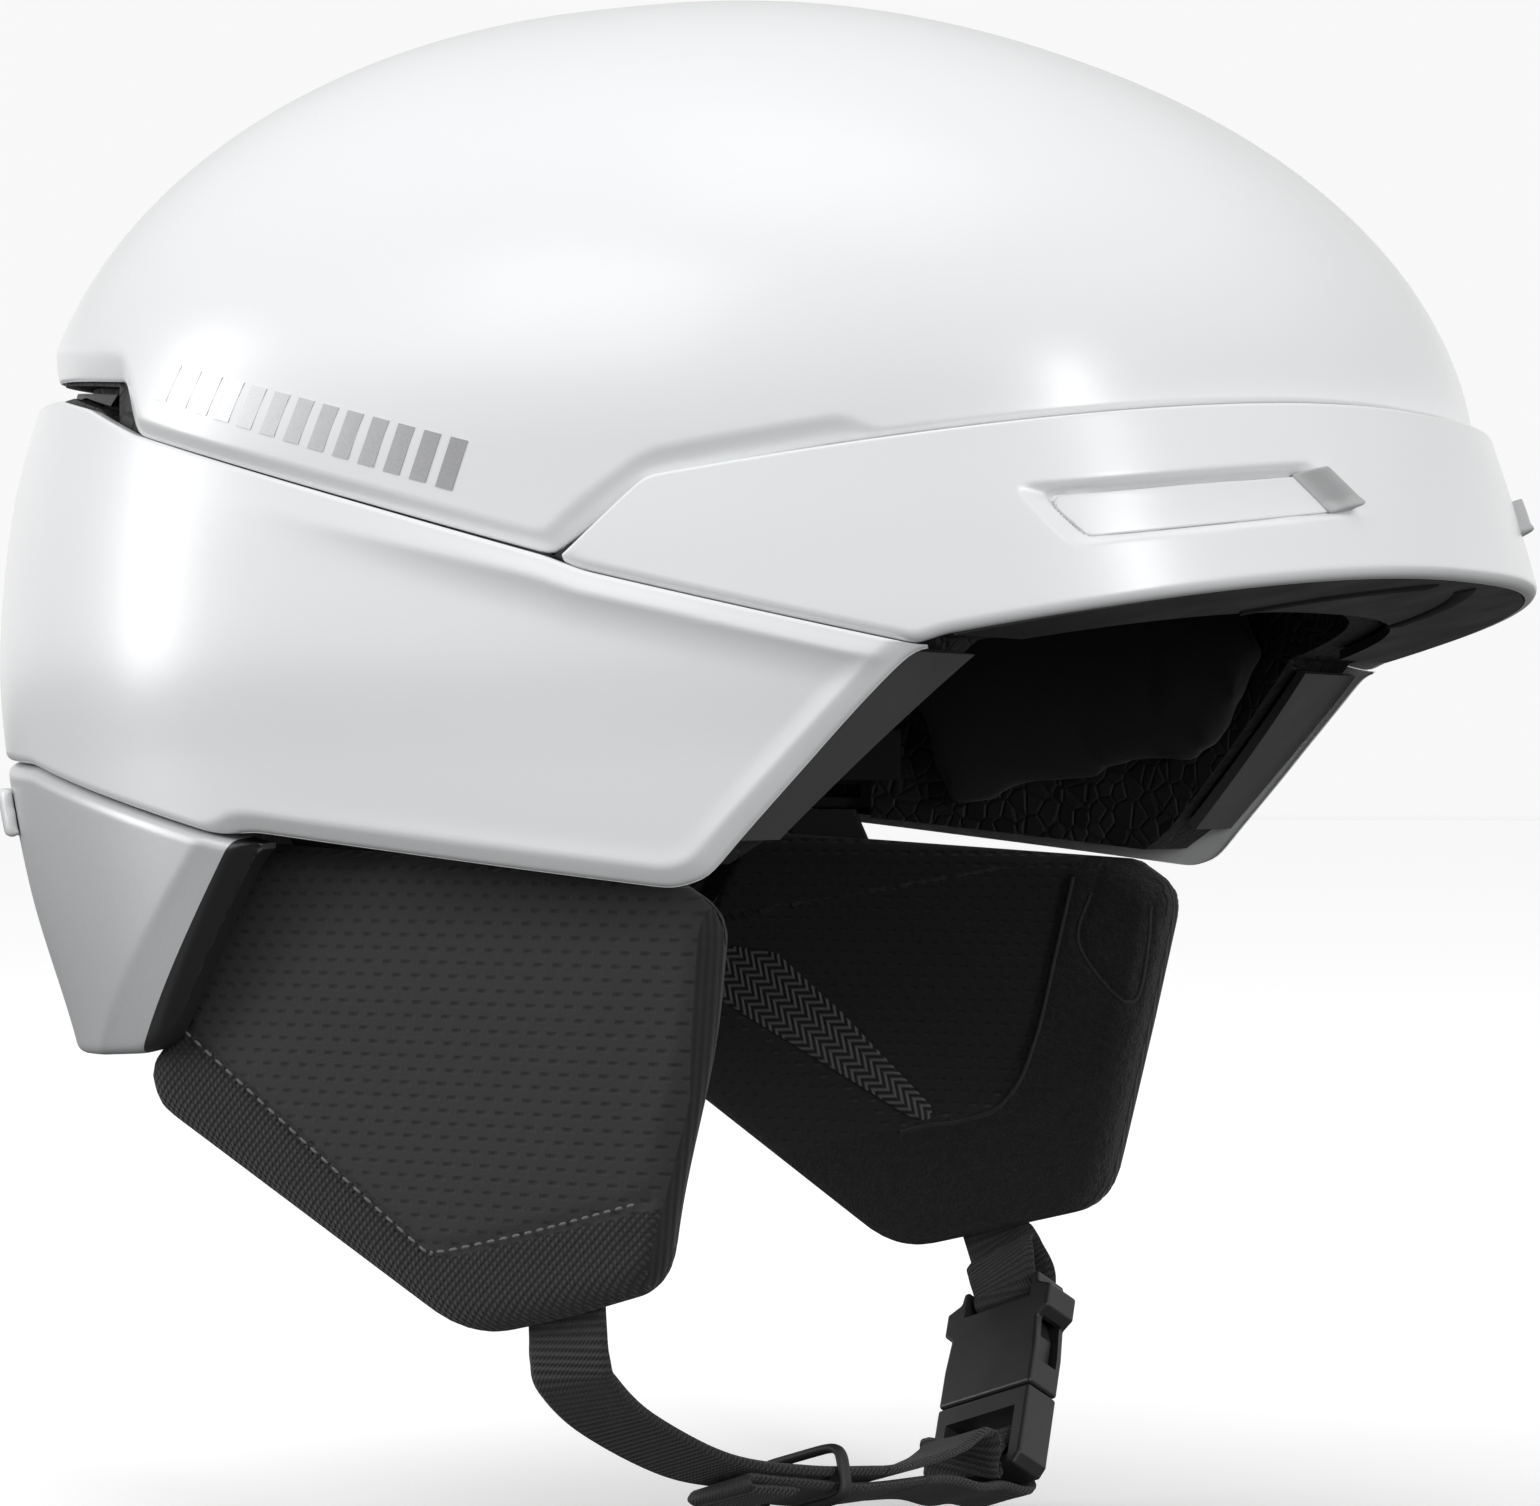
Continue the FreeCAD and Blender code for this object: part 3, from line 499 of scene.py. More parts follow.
def pad_cloth():
    """The outer face of the ear pads: knit panel, ribbed front roll and a woven lower panel."""
    m = plain_material("pad_knit", (0.03, 0.03, 0.031), 0.88, Sheen_Weight=0.15, Sheen_Roughness=0.5)
    x, y, z = axes(m)
    under_a = beyond(m, x, z, (-15.4, -80.2), (-66.0, -41.1))
    under_b = beyond(m, x, z, (29.6, -69.0), (-15.4, -80.2))
    woven = calc(m, "GREATER_THAN", calc(m, "SMOOTH_MAX", under_a, under_b, 5.0), 0.0)
    front_a = beyond(m, x, z, (40, -17.5), (34.6, -51.3))
    front_b = beyond(m, x, z, (34.6, -51.3), (27.3, -72.7))
    front = calc(m, "GREATER_THAN", calc(m, "MAXIMUM", front_a, front_b), 0.0)
    grain = add_noise(m, 1500, 3, 0.7)
    knit = calc(m, "MULTIPLY_ADD", knit_height(m, x, z), -0.75, 0.85)
    knit = calc(m, "ADD", knit, calc(m, "MULTIPLY", grain, 0.25))
    ribs = calc(m, "MULTIPLY", wave(m, calc(m, "ADD", x, y), 1.7), 0.35)
    ribs = calc(m, "ADD", ribs, calc(m, "MULTIPLY", grain, 0.3))
    weave = calc(m, "MULTIPLY_ADD", weave_height(m, x, z), 1.5, 0.15)
    height = mixed(m, front, knit, ribs)
    height = mixed(m, calc(m, "MULTIPLY", woven, calc(m, "SUBTRACT", 1.0, front)), height, weave)
    fabric_colour(m, height, 0.007, 0.031)
    add_bump(m, height, 0.7, 0.0006)
    return m


def fleece_cloth():
    """The inner face of the ear pads: terry round the rim and a finer knit in the sunk panel."""
    m = plain_material("pad_fleece", (0.012, 0.012, 0.012), 0.95, Sheen_Weight=0.1, Sheen_Roughness=0.6)
    x, _, z = axes(m)
    edge_a = beyond(m, x, z, (17.4, -50.9), (23.6, -17.6))
    edge_b = beyond(m, x, z, (11.7, -63.8), (17.4, -50.9))
    edge_c = beyond(m, x, z, (-4.6, -67.7), (11.7, -63.8))
    panel = calc(m, "GREATER_THAN", calc(m, "MINIMUM", calc(m, "MINIMUM", edge_a, edge_b), edge_c), 0.0)
    loops = add_noise(m, 620, 4, 0.75)
    streaks = add_noise(m, 240, 3, 0.6)
    terry = calc(m, "ADD", calc(m, "MULTIPLY_ADD", loops, 2.4, -1.0), calc(m, "MULTIPLY", streaks, 0.6))
    knit = calc(m, "MULTIPLY_ADD", knit_height(m, x, z), -0.6, 0.7)
    height = mixed(m, panel, terry, knit)
    fabric_colour(m, height, 0.0015, 0.012)
    add_bump(m, height, 0.9, 0.0009)
    return m


def smooth_cloth(name, dark, light, cell=1500, depth=0.0003, pitch=0.0):
    """Close knitted lining."""
    m = plain_material(name, (light, light, light), 0.85, Sheen_Weight=0.12, Sheen_Roughness=0.5)
    grain = add_noise(m, cell, 3, 0.65)
    if pitch:
        x, y, z = axes(m)
        rows, lines = (wave(m, calc(m, "ADD", way, y), pitch) for way in (x, z))
        rows = calc(m, "MULTIPLY", rows, lines)
        grain = calc(m, "ADD", calc(m, "MULTIPLY", grain, 0.5), calc(m, "MULTIPLY", rows, 0.5))
    fabric_colour(m, grain, dark, light)
    add_bump(m, grain, 0.7, depth)
    return m


def webbing_cloth():
    """Flat webbing: ribs across it and a fine twill. UV is across and along, in millimetres."""
    m = plain_material("webbing", (0.03, 0.03, 0.03), 0.78, Sheen_Weight=0.1, Sheen_Roughness=0.5)
    split = node(m, "ShaderNodeSeparateXYZ")
    link(m, node(m, "ShaderNodeTexCoord").outputs["UV"], split.inputs["Vector"])
    across, along = split.outputs["X"], split.outputs["Y"]
    ribs = wave(m, along, 1.25)
    twill = wave(m, calc(m, "ADD", along, across), 0.8)
    height = calc(m, "ADD", calc(m, "MULTIPLY", ribs, 0.7), calc(m, "MULTIPLY", twill, 0.3))
    fabric_colour(m, height, 0.010, 0.046)
    add_bump(m, height, 0.8, 0.0005)
    return m


def herringbone():
    """Herringbone tape."""
    m = plain_material("herringbone", (0.03, 0.03, 0.03), 0.8)
    x, _, z = axes(m)
    down = calc(m, "ADD", calc(m, "MULTIPLY", x, 0.58), calc(m, "MULTIPLY", z, 0.81))
    along = calc(m, "SUBTRACT", calc(m, "MULTIPLY", x, 0.81), calc(m, "MULTIPLY", z, 0.58))
    zigzag = calc(m, "PINGPONG", down, 2.1)
    height = wave(m, calc(m, "ADD", along, calc(m, "MULTIPLY", zigzag, 1.3)), 2.1)
    fabric_colour(m, height, 0.006, 0.13)
    add_bump(m, height, 0.8, 0.0006)
    return m


SILVER = silver_paint()
KNIT = pad_cloth()
FLEECE = fleece_cloth()
FABRIC = smooth_cloth("pad_fabric", 0.008, 0.024, 900, 0.0004, 1.6)
SMOOTH_PAD = smooth_cloth("pad_smooth", 0.007, 0.012, 2400, 0.00012)
WEBBING = webbing_cloth()
THREAD = smooth_cloth("thread", 0.09, 0.20, 3000, 0.0001)
HERRING = herringbone()
THREAD_DARK = smooth_cloth("thread_dark", 0.012, 0.03, 3000, 0.0001)


# ---- shells ---------------------------------------------------------------------------
def crown_piece():
    """The upper shell, with its bevelled lip."""
    edge = soft_edge(CROWN_EDGE, 1.1)
    angles = np.arange(0, 2 * math.pi, 2 * math.pi / 760) + 1e-4
    low = where_edge(crown_surface, angles, edge, -0.4, 0.6)
    high = np.full_like(low, math.pi / 2 - 1e-4)
    shares = 1 - np.cos(np.linspace(0, 1, 76) * math.pi / 2)

    def depth(p, to_low, to_high):
        """A broad bevel along the sides and the back, and a narrow one over the brow."""
        x = p[..., 0]
        behind = smoothstep(-62, -76, x)
        diagonal = smoothstep(16, 26, x)
        narrow = smoothstep(66, 73, x)
        width = 3.2 + 2.4 * behind + 1.4 * diagonal * (1 - narrow) - 1.9 * narrow
        sink = 1.7 + 0.9 * behind + 0.7 * diagonal * (1 - narrow) - 0.9 * narrow
        return chamfered(to_low, width, sink) + rolled(to_low, 0.5)

    piece = shell_piece("crown_skin", WHITE, crown_surface, angles, low, high, shares, True, depth)
    hang(piece, "root", "shell_white", "crown_shell")


def both_edges(angles, edges, limits):
    """Heights of a lower shell's bottom and top edges at each angle."""
    return [where_edge(lower_surface, angles, edge, *limits) for edge in edges]


def span(edges, limits, centre, least, step):
    """Angles either side of centre where the band between two edges is at least that high."""
    half = np.arange(0, math.pi, step)
    sides = []
    for sign in (-1, 1):
        a = centre + sign * half
        bottom, top = both_edges(a, edges, limits)
        gap = top - bottom
        thin = np.nonzero(gap < least)[0]
        sides.append(a[:thin[0] if len(thin) else len(a)])
    return np.concatenate([sides[0][::-1], sides[1][1:]])


def lower_shell(name, material, slot, replaced, edges, limits, angles, rows, depth, wall=SKIN):
    """A shell between two edges of the lower surface, with closer rows at both edges."""
    low, high = both_edges(angles, edges, limits)
    shares = (1 - np.cos(np.linspace(0, math.pi, rows))) / 2
    piece = shell_piece(name, material, lower_surface, angles, low, high, shares, False, depth, wall)
    hang(piece, "root", slot, replaced)


RIDGE_START = -52.0
RIDGE_FULL = 30.0


def side_depth(p, to_low, to_high):
    """Chamfer along the bottom and front edges, and the ledge under the top edge."""
    x = p[..., 0]
    front = smoothstep(-50, -41, x)
    low = chamfered(to_low, 1.4 + 2.4 * front, 0.6 + 1.9 * front) + rolled(to_low, 0.8)
    top = rolled(to_high, 0.6)
    grow = smoothstep(RIDGE_START, RIDGE_FULL, x)
    ridge = 5.8 - 2.4 * smoothstep(-48, 40, x)
    below = to_high - ridge
    scoop = 1 - (1 - np.clip(below / 7.0, 0, 1)) ** 2.4
    lift = grow * (0.5 * smoothstep(0, 1, to_high / ridge) - 1.9 * scoop + 0.9 * smoothstep(8, 40, below))
    return np.maximum(low, top) - lift * smoothstep(0.0, 7.0, to_low)


def side_piece():
    """The wrap-round side and rear shell."""
    edges = soft_edge(SIDE_BOTTOM, 1.6), soft_edge(SIDE_TOP, 1.0)
    limits = -40, 78
    angles = span(edges, limits, math.pi, 0.5, 2 * math.pi / 820)
    lower_shell("side_skin", WHITE, "shell_white", "side_shell", edges, limits, angles, 64, side_depth)


FACET_TOP = np.array([-51.8, -11.7])
FACET_LOW = np.array([-77.4, -39.6])


def guard_depth(p, to_low, to_high):
    """Rolled top edge, and a facet that turns inwards in front of a slanted line."""
    run = unit(FACET_LOW - FACET_TOP)
    ahead = (p[..., 0] - FACET_TOP[0]) * -run[1] + (p[..., 2] - FACET_TOP[1]) * run[0]
    facet = 0.2 * np.clip(ahead, 0, None) * smoothstep(-1, 2.0, ahead)
    front = line_gap(p[..., 0], p[..., 2], GUARD_FRONT)
    flank = chamfered(front, FLANK_WIDE, 4.6)
    return np.maximum(rolled(to_high, 2.2) + rolled(to_low, 1.9) + facet, flank)


def guard_piece():
    """The silver neck guard."""
    edges = soft_edge(GUARD_BOTTOM, 2.2), soft_edge(GUARD_TOP, 1.0)
    limits = -60, 30
    angles = span(edges, limits, math.pi, 0.6, 2 * math.pi / 820)
    lower_shell("guard_skin", SILVER, "guard_silver", "neck_guard", edges, limits, angles, 48,
                guard_depth, GUARD_WALL)


# the vent slider's slot: three points of its middle line on the right side, rear to front
SLOT_POINTS = [(98.1, -83.0, 41.2), (116.6, -65.0, 43.9), (128.1, -44.0, 46.4)]
# recess and plate outlines about the slot: along its arc, and up
RECESS_OUTER = [(-57.7, 5.3), (-2.6, 4.8), (9.6, -4.4), (-49.3, -5.3)]
RECESS_INNER = [(-52.8, 3.7), (-3.4, 3.4), (3.4, -3.5), (-46.4, -3.9)]
RECESS_FLOOR = 2.3
PLATE_DEPTH = 1.1
# the tab's slanted outline there, with its corners' radii
TAB_CORNERS = [(-7.4, 3.2, 0.5), (-1.3, 3.2, 0.9), (5.6, -3.6, 0.9), (-0.9, -3.6, 0.5)]
# how far the tab's back edge moves forward per millimetre down, and the tab's height
TAB_SLANT = 0.956
TAB_TALL = 6.8


def slot_frame():
    """Centre, radius and axes of the circle through the slot's three points."""
    p1, p2, p3 = (np.array(p, float) for p in SLOT_POINTS)
    a, b = p1 - p3, p2 - p3
    axis = np.cross(a, b)
    centre = p3 + np.cross(axis, (b @ b) * a - (a @ a) * b) / (2 * (axis @ axis))
    axis = axis / np.linalg.norm(axis) * math.copysign(1, axis[2])
    x_axis = (p3 - centre) / np.linalg.norm(p3 - centre)
    return centre, np.linalg.norm(p3 - centre), x_axis, np.cross(axis, x_axis), axis


SLOT_CENTRE, SLOT_RADIUS, SLOT_X, SLOT_Y, SLOT_AXIS = slot_frame()


def to_slot(p):
    """(along, up) of points about the slot on their own side."""
    rel = p * np.where(p[..., 1:2] > 0, [1, -1, 1], [1, 1, 1]) - SLOT_CENTRE
    along = np.arctan2(rel @ SLOT_Y, rel @ SLOT_X) * SLOT_RADIUS
    return along, rel @ SLOT_AXIS


def from_slot(along, up, side):
    """Angle and height on the brow's surface of a point about the slot."""
    a = along / SLOT_RADIUS
    direction = np.cos(a)[..., None] * SLOT_X + np.sin(a)[..., None] * SLOT_Y
    base = SLOT_CENTRE + up[..., None] * SLOT_AXIS
    low, high = np.full(a.shape, SLOT_RADIUS - 30.0), np.full(a.shape, SLOT_RADIUS + 30.0)
    for _ in range(30):
        mid = (low + high) / 2
        p = base + direction * mid[..., None]
        sizes = outer_sizes(p[..., 2])
        reach = ((p[..., 0] - WIDEST_X) / sizes[..., 0]) ** POWER + np.abs(p[..., 1] / sizes[..., 2]) ** POWER
        low, high = np.where(reach > 1, low, mid), np.where(reach > 1, mid, high)
    sizes = outer_sizes(p[..., 2])
    c = ((p[..., 0] - WIDEST_X) / sizes[..., 0]) ** (POWER / 2)
    s = np.abs(p[..., 1] / sizes[..., 2]) ** (POWER / 2)
    return side * np.arctan2(s, c), p[..., 2]


def soft_inside(u, v, corners, softness):
    """Distance inside a clockwise polygon with rounded corners, negative outside."""
    total = np.zeros(np.shape(u))
    for k, (x0, y0) in enumerate(corners):
        x1, y1 = corners[(k + 1) % len(corners)]
        length = math.hypot(x1 - x0, y1 - y0)
        gap = ((x1 - x0) * (y0 - v) - (x0 - u) * (y1 - y0)) / length
        total = total + np.exp(np.clip(-gap / softness, -60, 60))
    return -softness * np.log(total)


def brow_depth(p, to_low, to_high):
    """Rolled edges, and the slider's recess on both sides: a soft bevel down to a well for the plate."""
    u, v = to_slot(p)
    near = (p[..., 0] > 60) & (np.abs(p[..., 1]) > 15)
    outer = soft_inside(u, v, RECESS_OUTER, 0.7)
    inner = soft_inside(u, v, RECESS_INNER, 0.6)
    ramp = np.clip(outer / np.maximum(outer - inner, 0.05), 0, 1)
    ramp = np.where(inner > 0, 1.0, ramp)
    recess = 1.25 * (np.sqrt(ramp ** 2 + 0.01) - 0.1) + (RECESS_FLOOR - 1.13) * smoothstep(0.0, 0.35, inner)
    return rolled(to_low, 2.0) + rolled(to_high, 0.6) + np.where(near, recess, 0)


def brow_piece():
    """The brow shell, with closer columns along the slider's recesses."""
    edges = soft_edge(BROW_BOTTOM, 0.8), soft_edge(BROW_TOP, 1.0)
    limits = 0, 78
    rough = span(edges, limits, 0.0, 0.5, 2 * math.pi / 1100)
    slot_from, slot_to = 0.32, 1.12
    steps = [rough[0]]
    while steps[-1] < rough[-1]:
        fine = slot_from < abs(steps[-1]) < slot_to
        steps.append(steps[-1] + (0.0034 if fine else 0.0085))
    angles = np.array(steps[:-1])
    lower_shell("brow_skin", WHITE, "shell_white", "brow_shell", edges, limits, angles, 96, brow_depth)


def slot_plate(name, material, side, corners, top, bottom, soft):
    """A closed plate over an outline about the slot, between two depths below the brow's surface."""
    rim = rounded_outline(corners, 0.35)
    middle = rim.mean(0)
    shares = np.array([0.0, 0.2, 0.4, 0.6, 0.8, 0.9, 0.95, 0.975, 0.99, 1.0])
    uv = middle + (rim - middle)[:, None] * shares[None, 1:, None]
    u, v = uv[..., 0], uv[..., 1]
    a, z = from_slot(u, v, side)
    p = lower_surface(a, z)
    n = surface_normals(lower_surface, a, z)
    gap = line_gap(u, v, [tuple(q) for q in rim], True)
    gap[:, -1] = 0
    up = p - n * (top(u, v) + rolled(gap, soft))[..., None]
    down = (p - n * bottom)[:, [-1, 0]]
    grid = np.concatenate([up, down], 1)
    return make_mesh(name, grid, plate_faces(len(rim), grid.shape[1]), material, sharp=45, merge=0)


def tab_top(u, v):
    """The tab climbs from the plate to its leading edge, with a finger ledge along the bottom."""
    back, top = TAB_CORNERS[0][:2]
    ahead = np.clip((u - back - (top - v) * TAB_SLANT) / 6.2, 0, 1)
    down = np.clip((top - v) / TAB_TALL, 0, 1)
    return 0.95 - 2.9 * smoothstep(0.0, 1.0, ahead) - 0.5 * smoothstep(0.75, 1.0, down)


def sliders():
    """Flush plate in each recess, and the tab that slides along it."""
    for side, word in ((-1, "right"), (1, "left")):
        corners = [(u + math.copysign(0.35, -25 - u), v + math.copysign(0.2, -v) - (0.45 if v > 0 else 0), r)
                   for (u, v), r in zip(RECESS_INNER, (2.4, 0.8, 1.2, 2.4))]
        plate = slot_plate("slot_plate_" + word, WHITE, side, corners, lambda u, v: PLATE_DEPTH, 2.2, 0.25)
        hang(plate, "root", "shell_white", "vent_track_" + word)
        tab = slot_plate("slider_tab_" + word, TAB, side, TAB_CORNERS, tab_top, 1.06, 0.3)
        hang(tab, "vent_slider_" + word, "tab_grey", "vent_tab_" + word)


# ---- ear pads: outlines and seams are (X, Z) in the side view ----------------------------
PAD_FACE_Y = 95.5
PAD_LEAN = 0.13
PAD_FACE_Z = -15.0
PAD_CORNERS = [
    (-53, -10.5, 5), (33, -15.5, 8), (42.8, -21.5, 8), (38, -48, 20), (31, -83.0, 12), (-12.5, -93.8, 20),
    (-73.5, -56.8, 6), (-75, -49.5, 5), (-67, -41, 10),
]
PAD_CENTRE = (-14.0, -50.0)
TRIM_LINE = [(-66.0, -41.1), (-20.5, -76.2), (-15.4, -78.4), (-9.5, -77.6), (29.6, -68.2)]
FRONT_LINE = [(40.5, -17.5), (34.8, -51.3), (26.5, -75.5)]
PANEL_LINE = [
    (24.0, -14.5), (17.4, -50.9), (11.7, -63.0), (3.5, -67.0), (-5.0, -68.5), (-11.2, -70.0), (-57.0, -46.0),
    (-66.0, -30.0),
]
PATCH_LINE = [
    (29.3, -16.6), (33.5, -16.2), (40.2, -20.4), (39.2, -32.0), (37.3, -42.6), (33.0, -41.5), (26.5, -34.5),
    (24.9, -29.3), (29.3, -16.6),
]
TAPE_OUTLINE = [
    (-57.5, -33.6), (-42.6, -35.2), (-27.0, -46.6), (-5.4, -64.6), (-4.6, -67.4), (-9.0, -67.4),
    (-60.5, -42.4),
]


def rounded_outline(corners, step):
    """Points round a polygon whose corners have radii, evenly spaced."""
    path = []
    count = len(corners)
    for k in range(count):
        p0 = np.array(corners[k - 1][:2], float)
        p1 = np.array(corners[k][:2], float)
        p2 = np.array(corners[(k + 1) % count][:2], float)
        d0 = (p0 - p1) / np.linalg.norm(p0 - p1)
        d1 = (p2 - p1) / np.linalg.norm(p2 - p1)
        half = math.acos(np.clip(d0 @ d1, -1, 1)) / 2
        cut = corners[k][2] / math.tan(half)
        cut = min(cut, 0.48 * np.linalg.norm(p0 - p1), 0.48 * np.linalg.norm(p2 - p1))
        for t in np.linspace(0, 1, 12):
            path.append((1 - t) ** 2 * (p1 + d0 * cut) + 2 * t * (1 - t) * p1 + t ** 2 * (p1 + d1 * cut))
    path = np.array(path + path[:1])
    return evenly(path, int(path_length(path) / step))[:-1]


def path_length(path):
    return np.linalg.norm(np.diff(path, axis=0), axis=1).sum()


def evenly(path, count):
    """count + 1 points at even steps along a path."""
    path = np.asarray(path, float)
    steps = np.concatenate([[0], np.cumsum(np.linalg.norm(np.diff(path, axis=0), axis=1))])
    at = np.linspace(0, steps[-1], count + 1)
    return np.stack([np.interp(at, steps, path[:, k]) for k in range(path.shape[1])], -1)


def line_gap(x, z, line, closed=False):
    """Distance from points to a path in the side view."""
    best = np.full(np.shape(x), 1e9)
    line = list(line) + ([line[0]] if closed else [])
    for (x0, z0), (x1, z1) in zip(line, line[1:]):
        dx, dz = x1 - x0, z1 - z0
        t = np.clip(((x - x0) * dx + (z - z0) * dz) / (dx * dx + dz * dz), 0, 1)
        best = np.minimum(best, np.hypot(x - x0 - t * dx, z - z0 - t * dz))
    return best


def in_path(x, z, line):
    """Whether points are inside a closed path."""
    inside = np.zeros(np.shape(x), bool)
    for k, (x0, z0) in enumerate(line):
        x1, z1 = line[(k + 1) % len(line)]
        if z0 != z1:
            inside ^= ((z0 > z) != (z1 > z)) & (x < (x1 - x0) * (z - z0) / (z1 - z0) + x0)
    return inside


def groove(gap, width, depth):
    """A soft groove along a line, at a distance from it."""
    return depth * np.exp(-(gap / width) ** 2)


def pad_point(x, depth, z, side):
    """A point of an ear pad. The right pad's front edge hangs back towards its foot and its inner side."""
    if side < 0:
        back = 4.2 * smoothstep(-35, -80, z) + 3.4 * smoothstep(4, 13, depth)
        x = x - back * smoothstep(0, 38, x)
    return np.stack([x, side * (PAD_FACE_Y - depth + PAD_LEAN * (z - PAD_FACE_Z)), z], -1)


def pad_cushion(name, material, side, detail, puff, face, back, hollow, crown, roll):
    """A closed cushion over the pad's outline.

    face, back and hollow are depths into the pad: of its face, of its rim behind, and of its middle behind.
    crown is how far the face swells, as puff says, and roll is the radius of its rolled edge."""
    rim = rounded_outline(PAD_CORNERS, 1.05)
    centre = np.array(PAD_CENTRE)
    turn = 1 if back > face else -1
    border = 0.86 + 0.14 * np.sin(np.linspace(0, math.pi / 2, 22))
    shares = np.concatenate([np.linspace(0, 0.86, 62)[1:], border[1:]])
    flat = centre + (rim - centre)[:, None] * shares[None, :, None]
    x, z = flat[..., 0], flat[..., 1]
    gap = line_gap(x, z, [tuple(p) for p in rim[::3]], True)
    gap[:, -1] = 0
    soft = smoothstep(0, 26, gap)
    swell = crown * (0.35 * soft + 0.65 * soft * puff(x, z))
    depth = face + turn * (rolled(gap, roll) - swell + detail(x, z))
    under = back + (hollow - back) * smoothstep(0, 14, gap)
    front = pad_point(x, depth, z, side)
    behind = pad_point(x, under, z, side)[:, ::-1]
    points = np.concatenate([front, behind], 1)
    count, total = points.shape[:2]
    faces = grid_faces(count, total, True, False)
    middle = count * total
    top = pad_point(centre[:1], depth[:1, 0], centre[1:], side)
    bottom = pad_point(centre[:1], under[:1, 0], centre[1:], side)
    for i in range(count):
        k = (i + 1) % count
        faces.append((middle, k * total, i * total))
        faces.append((middle + 1, i * total + total - 1, k * total + total - 1))
    points = np.concatenate([points.reshape(-1, 3), top, bottom])
    return make_mesh(name, points, faces, material, sharp=60)


def swollen(corners, thick, cap):
    """Simulated swelling of a padded cover over an outline: a function of the place, from 0 to 1."""
    rim = rounded_outline(corners, 3.0)
    middle = rim.mean(0)
    rim = middle + (rim - middle) * 0.97
    count = len(rim)
    points = [(p[0], h, p[1]) for h in (-thick / 2, thick / 2) for p in rim]
    faces = [tuple(range(count))[::-1], tuple(range(count, 2 * count))]
    faces += [(i, (i + 1) % count, count + (i + 1) % count, count + i) for i in range(count)]
    cover = make_mesh("cover_form", points, faces, FABRIC, merge=0)
    simulate(cover, 5.0, cap)
    spots = np.array([v.co for v in cover.data.vertices]) / MM
    spots = spots[spots[:, 1] > 0]
    rise = np.clip(spots[:, 1] - thick / 2, 0, None)
    rise = rise / max(rise.max(), 1e-6)
    bpy.data.objects.remove(cover, do_unlink=True)

    def puff(x, z):
        flat = np.stack([np.ravel(x), np.ravel(z)], -1)
        out = np.empty(len(flat))
        for start in range(0, len(flat), 2000):
            part = flat[start:start + 2000]
            away = ((part[:, None] - spots[None, :, [0, 2]]) ** 2).sum(-1)
            weights = np.exp(-away / (2 * 5.0 ** 2)) + 1e-9
            out[start:start + 2000] = (weights * rise).sum(1) / weights.sum(1)
        return out.reshape(np.shape(x))
    return puff


def apply_modifier(piece, kind, **settings):
    """Add a modifier to a piece with its settings, and apply it."""
    modifier = piece.modifiers.new(kind.lower(), kind)
    for key, value in settings.items():
        setattr(modifier, key, value)
    bpy.context.view_layer.objects.active = piece
    bpy.ops.object.modifier_apply(modifier=modifier.name)


def simulate(piece, voxel, cap, pressure=4.0):
    """Swell a closed cover with a cloth simulation, and keep each point within cap of where it was."""
    scene = bpy.context.scene
    apply_modifier(piece, "REMESH", mode="VOXEL", voxel_size=voxel * MM)
    before = np.array([v.co for v in piece.data.vertices])
    cloth = piece.modifiers.new("cloth", "CLOTH")
    cloth.settings.use_pressure = True
    cloth.settings.uniform_pressure_force = pressure
    cloth.settings.effector_weights.gravity = 0
    cloth.settings.quality = 5
    cloth.point_cache.frame_start = 1
    cloth.point_cache.frame_end = 20
    for step in range(1, 21):
        scene.frame_set(step)
        bpy.context.view_layer.update()
    shaped = piece.evaluated_get(bpy.context.evaluated_depsgraph_get())
    after = np.array([v.co for v in shaped.data.vertices])
    piece.modifiers.clear()
    move = after - before
    size = np.linalg.norm(move, axis=1, keepdims=True)
    move = move * np.minimum(1, cap * MM / np.maximum(size, 1e-9))
    for vertex, place_now in zip(piece.data.vertices, before + move):
        vertex.co = place_now
    piece.data.update()
    scene.frame_set(1)


def outer_detail(x, z):
    """Sunk seams round the woven panel and along the front roll."""
    trim = line_gap(x, z, TRIM_LINE)
    front = line_gap(x, z, FRONT_LINE)
    return groove(trim, 1.3, 0.55) + groove(front, 2.2, 0.35)


def inner_detail(x, z):
    """The sunk inner panel and the outline of the fleece patch."""
    edge = line_gap(x, z, PANEL_LINE)
    inside = in_path(x, z, PANEL_LINE)
    sink = 1.5 * smoothstep(0, 2.6, edge) * inside
    lip = groove(line_gap(x, z, PANEL_LINE[6:0:-1]), 1.6, -0.5) * ~inside
    return sink + lip + groove(line_gap(x, z, PATCH_LINE), 0.9, 0.7) + groove(edge, 1.0, 0.3)


def smooth_path(points, count):
    """A smooth curve through points, evenly spaced."""
    p = np.array(points, float)
    p = np.concatenate([[2 * p[0] - p[1]], p, [2 * p[-1] - p[-2]]])
    fine = []
    for i in range(1, len(p) - 2):
        for t in np.linspace(0, 1, 24, endpoint=False):
            a, b, c, d = p[i - 1], p[i], p[i + 1], p[i + 2]
            fine.append(0.5 * (2 * b + (c - a) * t + (2 * a - 5 * b + 4 * c - d) * t ** 2
                               + (3 * b - a - 3 * c + d) * t ** 3))
    fine.append(p[-2])
    return evenly(np.array(fine), count)


